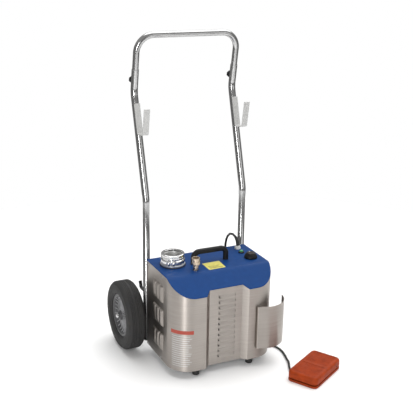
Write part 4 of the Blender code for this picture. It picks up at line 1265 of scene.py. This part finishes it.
def make_carry_handle():
    """A moulded bail: an oval grip with shallow finger grooves, on two flared feet."""
    left, right = CARRY_X
    low, high = TOP + GAP, 0.403
    corners = [Vector((x, CARRY_Y, z)) for x, z in ((left, low), (left, high), (right, high), (right, low))]
    path = spaced(rounded(corners, 0.022, 14), 0.0022)
    count = len(path)

    def section(part, number):
        foot = max(0.0, 1 - min(number, count - 1 - number) / 3)
        squash = 0.0095 - (0.0007 if number % 3 == 0 and 0.3 < part < 0.7 else 0.0)
        return superellipse(0.0088 + 0.0006 * foot, squash, 2.4, 36)
    piece("carry_grip", swept("carry_grip", path, section), "black_plastic", stands_for="carry_handle")


def make_gland():
    dome = mm((4.8, 12), (8.2, 12), (9.5, 10.5), (9.8, 7.8), (4.8, 7.8))
    gland = gland_shapes(dome, (10, 0.05), (0.0115, 0.0074), (0.006, -0.012), 60)
    piece("mains_gland", gland, "white_plastic", at=(*GLAND, TOP), stands_for="cord_gland")


def make_lamp():
    bezel = [
        (0.0072, 0.005), (0.0082, 0.005), (0.0106, 0.0036), (0.0112, 0.0012), (0.0112, GAP),
        (0.0072, GAP),
    ]
    turned("lamp_bezel", "black_plastic", (bezel, 64, 0.0005), at=(*LAMP, TOP))
    lens = mm((0, 11), (3, 10.6), (5.4, 9), (6.8, 6.5), (7.1, 4), (7, -22), (0, -22))
    turned("lamp_lens", "green_lens", (lens, 64, 0.0006), at=(*LAMP, TOP), stands_for="pilot_lamp")


def make_selector():
    skirt = mm(
        (0, 15.8), (17.2, 15.8), (20, 12.2), (22.4, 8.2), (23.5, 4.6), (23.5, 0.6), (4.5, 0.6),
        (4.5, 9.5), (0, 9.5),
    )
    wave = flutes(18, 0.03, 0.007, 0.0157)
    at = (*SWITCH, TOP)
    turned(
        "selector_skirt", "black_plastic", (skirt, 144, 0.0008, wave), body="selector", at=at,
        stands_for="selector_knob",
    )
    # The top disc is a lighter, browner copy of the knob's black plastic: painted sheen on its top.
    disc = mm((0, 20), (12.8, 20), (15.2, 19), (16, 16), (0, 16))
    top = (disc, 96, 0.0008)
    turned("selector_top", "knob_top_sheen", top, body="selector", at=at, slot="black_plastic")
    mark = boxed("selector_mark", (-0.0009, 0.006, 0.0199), (0.0009, 0.014, 0.0202))
    piece("selector_mark", mark, "white_plastic", body="selector", at=at)


def make_labels():
    """Plain printed films: a yellow one with bars, and a red bar with lines round the front left corner."""
    film = 0.00016
    outline = mm((-33, -116), (35, -115), (31, -176), (-33, -177))
    outline = rounded(outline, 0.002, 4, closed=True)
    piece("yellow_label", extruded("yellow_label", outline, 0.0, film), "yellow_label", at=(0, 0, TOP))
    bars = []
    for y, half, high in ((-0.166, 0.0017, 0.024), (-0.158, 0.0011, 0.012), (-0.15, 0.0011, 0.018)):
        bars.append(boxed("bar", (-0.026, y - half, film), (high, y + half, film * 1.5)))
    piece("yellow_label_bars", bars, "label_black", at=(0, 0, TOP))

    centre = (-WIDTH / 2 + CORNER, -DEPTH + CORNER)

    def corner_film(start, stop, low, high, steps):
        outer = arc(centre, CORNER + film + 0.0001, start, stop, steps)
        inner = arc(centre, CORNER + 0.0001, stop, start, steps)
        return extruded("film", outer + inner, low, high)

    piece("red_label", corner_film(201, 261, 0.1705, 0.184, 24), "red_label")
    lines = []
    for number in range(15):
        z = 0.162 - 0.008 * number
        stop = 252 + 5 * math.sin(1.7 * number)
        lines.append(corner_film(204, stop, z - 0.0011, z + 0.0011, 16))
    piece("corner_label_lines", lines, "pale_print")


def pouch_path():
    """Plan of the holder's sheet: a flange on the casing, and a plate that curves round its corner."""
    flange = -DEPTH - SHEET / 2 - GAP
    corners = [(0.128, flange), (0.112, flange), (0.112, -0.2735), (0.13, -0.2785)]
    plate = mm(
        (130, -278.5), (145, -284), (165, -286.5), (190, -281.5), (215, -266.5), (234.5, -241),
        (242.5, -213),
    )
    bend = [Vector(point) for point in rounded(corners, 0.003, 6)]
    return bend[:-1] + [point.to_2d() for point in smooth_path([(*point, 0) for point in plate], 0.004)]


def make_pouch():
    """The holder on the casing's front corner: a bent sheet, open at its top and right, with a floor."""
    path = pouch_path()
    sheet = extruded("pouch_sheet", strip(path, SHEET), POUCH_LOW, POUCH_HIGH)
    piece("pouch_sheet", sheet, "stainless", stands_for="pouch", bevel=0.0006)
    corner = arc((WIDTH / 2 - CORNER, -DEPTH + CORNER), CORNER + 2 * GAP, -10, -80, 20)
    floor = [point for point in path if point.y < -0.27 or point.x > 0.13]
    floor += [Vector(p) for p in corner]
    shelf = extruded("pouch_floor", floor, POUCH_LOW + 0.0002, POUCH_LOW + 0.002)
    piece("pouch_floor", shelf, "stainless", bevel=0.0004)


# The foot switch.


def pedal_outline(inset=0.0, steps=10):
    half_u, half_v, radius = PEDAL_HALF[0] - inset, PEDAL_HALF[1] - inset, max(0.002, PEDAL_ROUND - inset)
    corners = []
    for number, (side_u, side_v) in enumerate(((1, 1), (-1, 1), (-1, -1), (1, -1))):
        centre = (side_u * (half_u - radius), side_v * (half_v - radius))
        corners += arc(centre, radius, 90 * number, 90 * number + 90, steps)
    return corners


def stacked(name, layers):
    """A solid with the foot switch's outline, from (z, inset) layers."""
    bm = bmesh.new()
    rings = [[bm.verts.new((u, v, z)) for u, v in pedal_outline(inset)] for z, inset in layers]
    add_sides(bm, rings)
    bm.faces.new(rings[0])
    bm.faces.new(rings[-1])
    return mesh_of(bm, name)


def make_foot_switch():
    turn = Matrix.Rotation(PEDAL_TURN, 4, "Z")
    at = (*PEDAL_CENTRE, 0)
    base = stacked("switch_base", mm((0, 2.2), (0.8, 0.6), (2, 0), (7.5, 0), (8.5, 1), (8.5, 6), (3, 6.4)))
    piece("switch_base", base, "orange_rubber", at=at, turn=turn, stands_for="foot_switch_base")
    inner = [
        boxed("block", (-0.03, -0.02, 0.001), (0.03, 0.022, 0.023)),
        boxed("entry", (LEAD_U - 0.008, 0.02, 0.001), (LEAD_U + 0.008, 0.0555, 0.0115)),
    ]
    piece("switch_inner", inner, "black_plastic", at=at, turn=turn, bevel=0.0012)
    shell = stacked("treadle", mm(
        (34.5, 6), (34, 4.2), (13.5, 3.6), (13, 3), (13, 1), (13.8, 0.3), (30, 0.3), (34.5, 1.4),
        (37.5, 3.6), (39.2, 6.6), (40, 11),
    ))
    ridge = 0.0078
    pockets = [
        boxed("pocket", (low, -0.042, 0.0386), (high, 0.04, 0.05))
        for low, high in ((-0.084, -ridge), (ridge, 0.084))
    ]
    piece(
        "treadle", cut(shell, pockets), "orange_rubber", body="pedal", at=at, turn=turn,
        stands_for="foot_pedal", bevel=0.0006,
    )
    for word, (low, high) in (("left", (-0.0836, -ridge - 0.0004)), ("right", (ridge + 0.0004, 0.0836))):
        ribs = [boxed("pad", (low, -0.0416, 0.0386), (high, 0.0396, 0.0392))]
        for number in range(17):
            y = -0.0392 + number * 0.0048
            rib = boxed("rib", (low + 0.001, y - 0.0013, 0.039), (high - 0.001, y + 0.0013, 0.0398))
            ribs.append(rib)
        piece(
            f"{word}_pad", ribs, "orange_pad", body="pedal", at=at, turn=turn,
            slot="orange_rubber", bevel=0.0003,
        )
    pin = mm((0, 1.6), (1.8, 1.2), (2.6, 0), (0, 0))
    place = on_pedal(0.06, -0.0568, 0.02)
    turned("treadle_pin", "black_plastic", (pin, 32, 0.0003), body="pedal", at=place, turn=turn @ facing(-Y))


# The pieces inside the casing and behind it keep their CAD shape.


def dress_inner_parts():
    slots = {part["node"]: part["material_slot"] for part in frame["record"]["subparts"]}
    for name, node in frame["nodes"].items():
        if node.hide_render:
            continue
        node.data.materials.clear()
        node.data.materials.append(LOOKS[slots[name]].material)


# Studio. The floor ends where the backdrop takes over, so that the tubes reflect grey walls too.

FLOOR_RADIUS = 2.0
SUN_STRENGTH, SUN_WIDTH, SUN_SIDE = 2.9, 75, (0.5, 0.3, 1.4)


def area_light(name, place, target, size, power):
    light = bpy.data.lights.new(name, "AREA")
    light.shape = "RECTANGLE"
    light.size, light.size_y = size
    light.energy = power
    placed(name, light, facing(place - target, place))


def make_world():
    """A white backdrop behind the object, and a grey studio, lighter overhead, for light and reflections."""
    world = bpy.data.worlds.new("studio")
    world.use_nodes = True
    nodes, links = world.node_tree.nodes, world.node_tree.links
    studio, backdrop = nodes["Background"], nodes.new("ShaderNodeBackground")
    split, walls = nodes.new("ShaderNodeSeparateXYZ"), nodes.new("ShaderNodeValToRGB")
    links.new(nodes.new("ShaderNodeTexCoord").outputs["Generated"], split.inputs["Vector"])
    links.new(split.outputs["Z"], walls.inputs["Fac"])
    low, high = walls.color_ramp.elements
    low.position, low.color = 0.05, (0.24, 0.238, 0.235, 1.0)
    high.position, high.color = 0.6, (0.46, 0.457, 0.45, 1.0)
    links.new(walls.outputs["Color"], studio.inputs["Color"])
    backdrop.inputs["Color"].default_value = (1.0, 1.0, 1.0, 1.0)
    backdrop.inputs["Strength"].default_value = 1.0
    mix = nodes.new("ShaderNodeMixShader")
    links.new(nodes.new("ShaderNodeLightPath").outputs["Is Camera Ray"], mix.inputs["Fac"])
    links.new(studio.outputs["Background"], mix.inputs[1])
    links.new(backdrop.outputs["Background"], mix.inputs[2])
    links.new(mix.outputs["Shader"], nodes["World Output"].inputs["Surface"])
    bpy.context.scene.world = world


def toward(azimuth, height):
    return Vector((math.cos(math.radians(azimuth)), math.sin(math.radians(azimuth)), height))


def make_studio():
    mesh = extruded("floor", circle(FLOOR_RADIUS, 96), -0.02, 0.0)
    mesh.materials.append(floor_look().material)
    placed("floor", mesh)
    make_world()
    bpy.context.scene.view_settings.view_transform = "Standard"
    sun = bpy.data.lights.new("soft sun", "SUN")
    sun.energy = SUN_STRENGTH
    sun.angle = math.radians(SUN_WIDTH)
    placed("soft sun", sun, facing(SUN_SIDE))
    corner = MACHINE + Vector((-0.16, -0.25, 0.2))
    area_light("corner strip", corner + toward(-130, 0.3) * 2.2, corner, (0.3, 1.3), 24)
    front = MACHINE + Vector((0, -0.28, 0.25))
    area_light("front wall", front + toward(-62, 0.3) * 2.6, front, (1.8, 1.2), 7)


for maker in (
    make_camera, make_mains_lead, make_foot_lead, make_casing, make_louvres, make_cover, make_screws,
    make_feet,
):
    maker()
for sign, side_word in SIDES:
    for maker in (make_upright, make_clamp_knob, make_hook, make_tyre, make_rim):
        maker(side_word, sign)
for maker in (
    make_handle, make_cord_hook, make_crossbars, make_axle_parts, make_coupling, make_water_fittings,
    make_carry_handle, make_gland, make_lamp, make_selector, make_labels, make_pouch, make_foot_switch,
    dress_inner_parts, make_studio,
):
    maker()
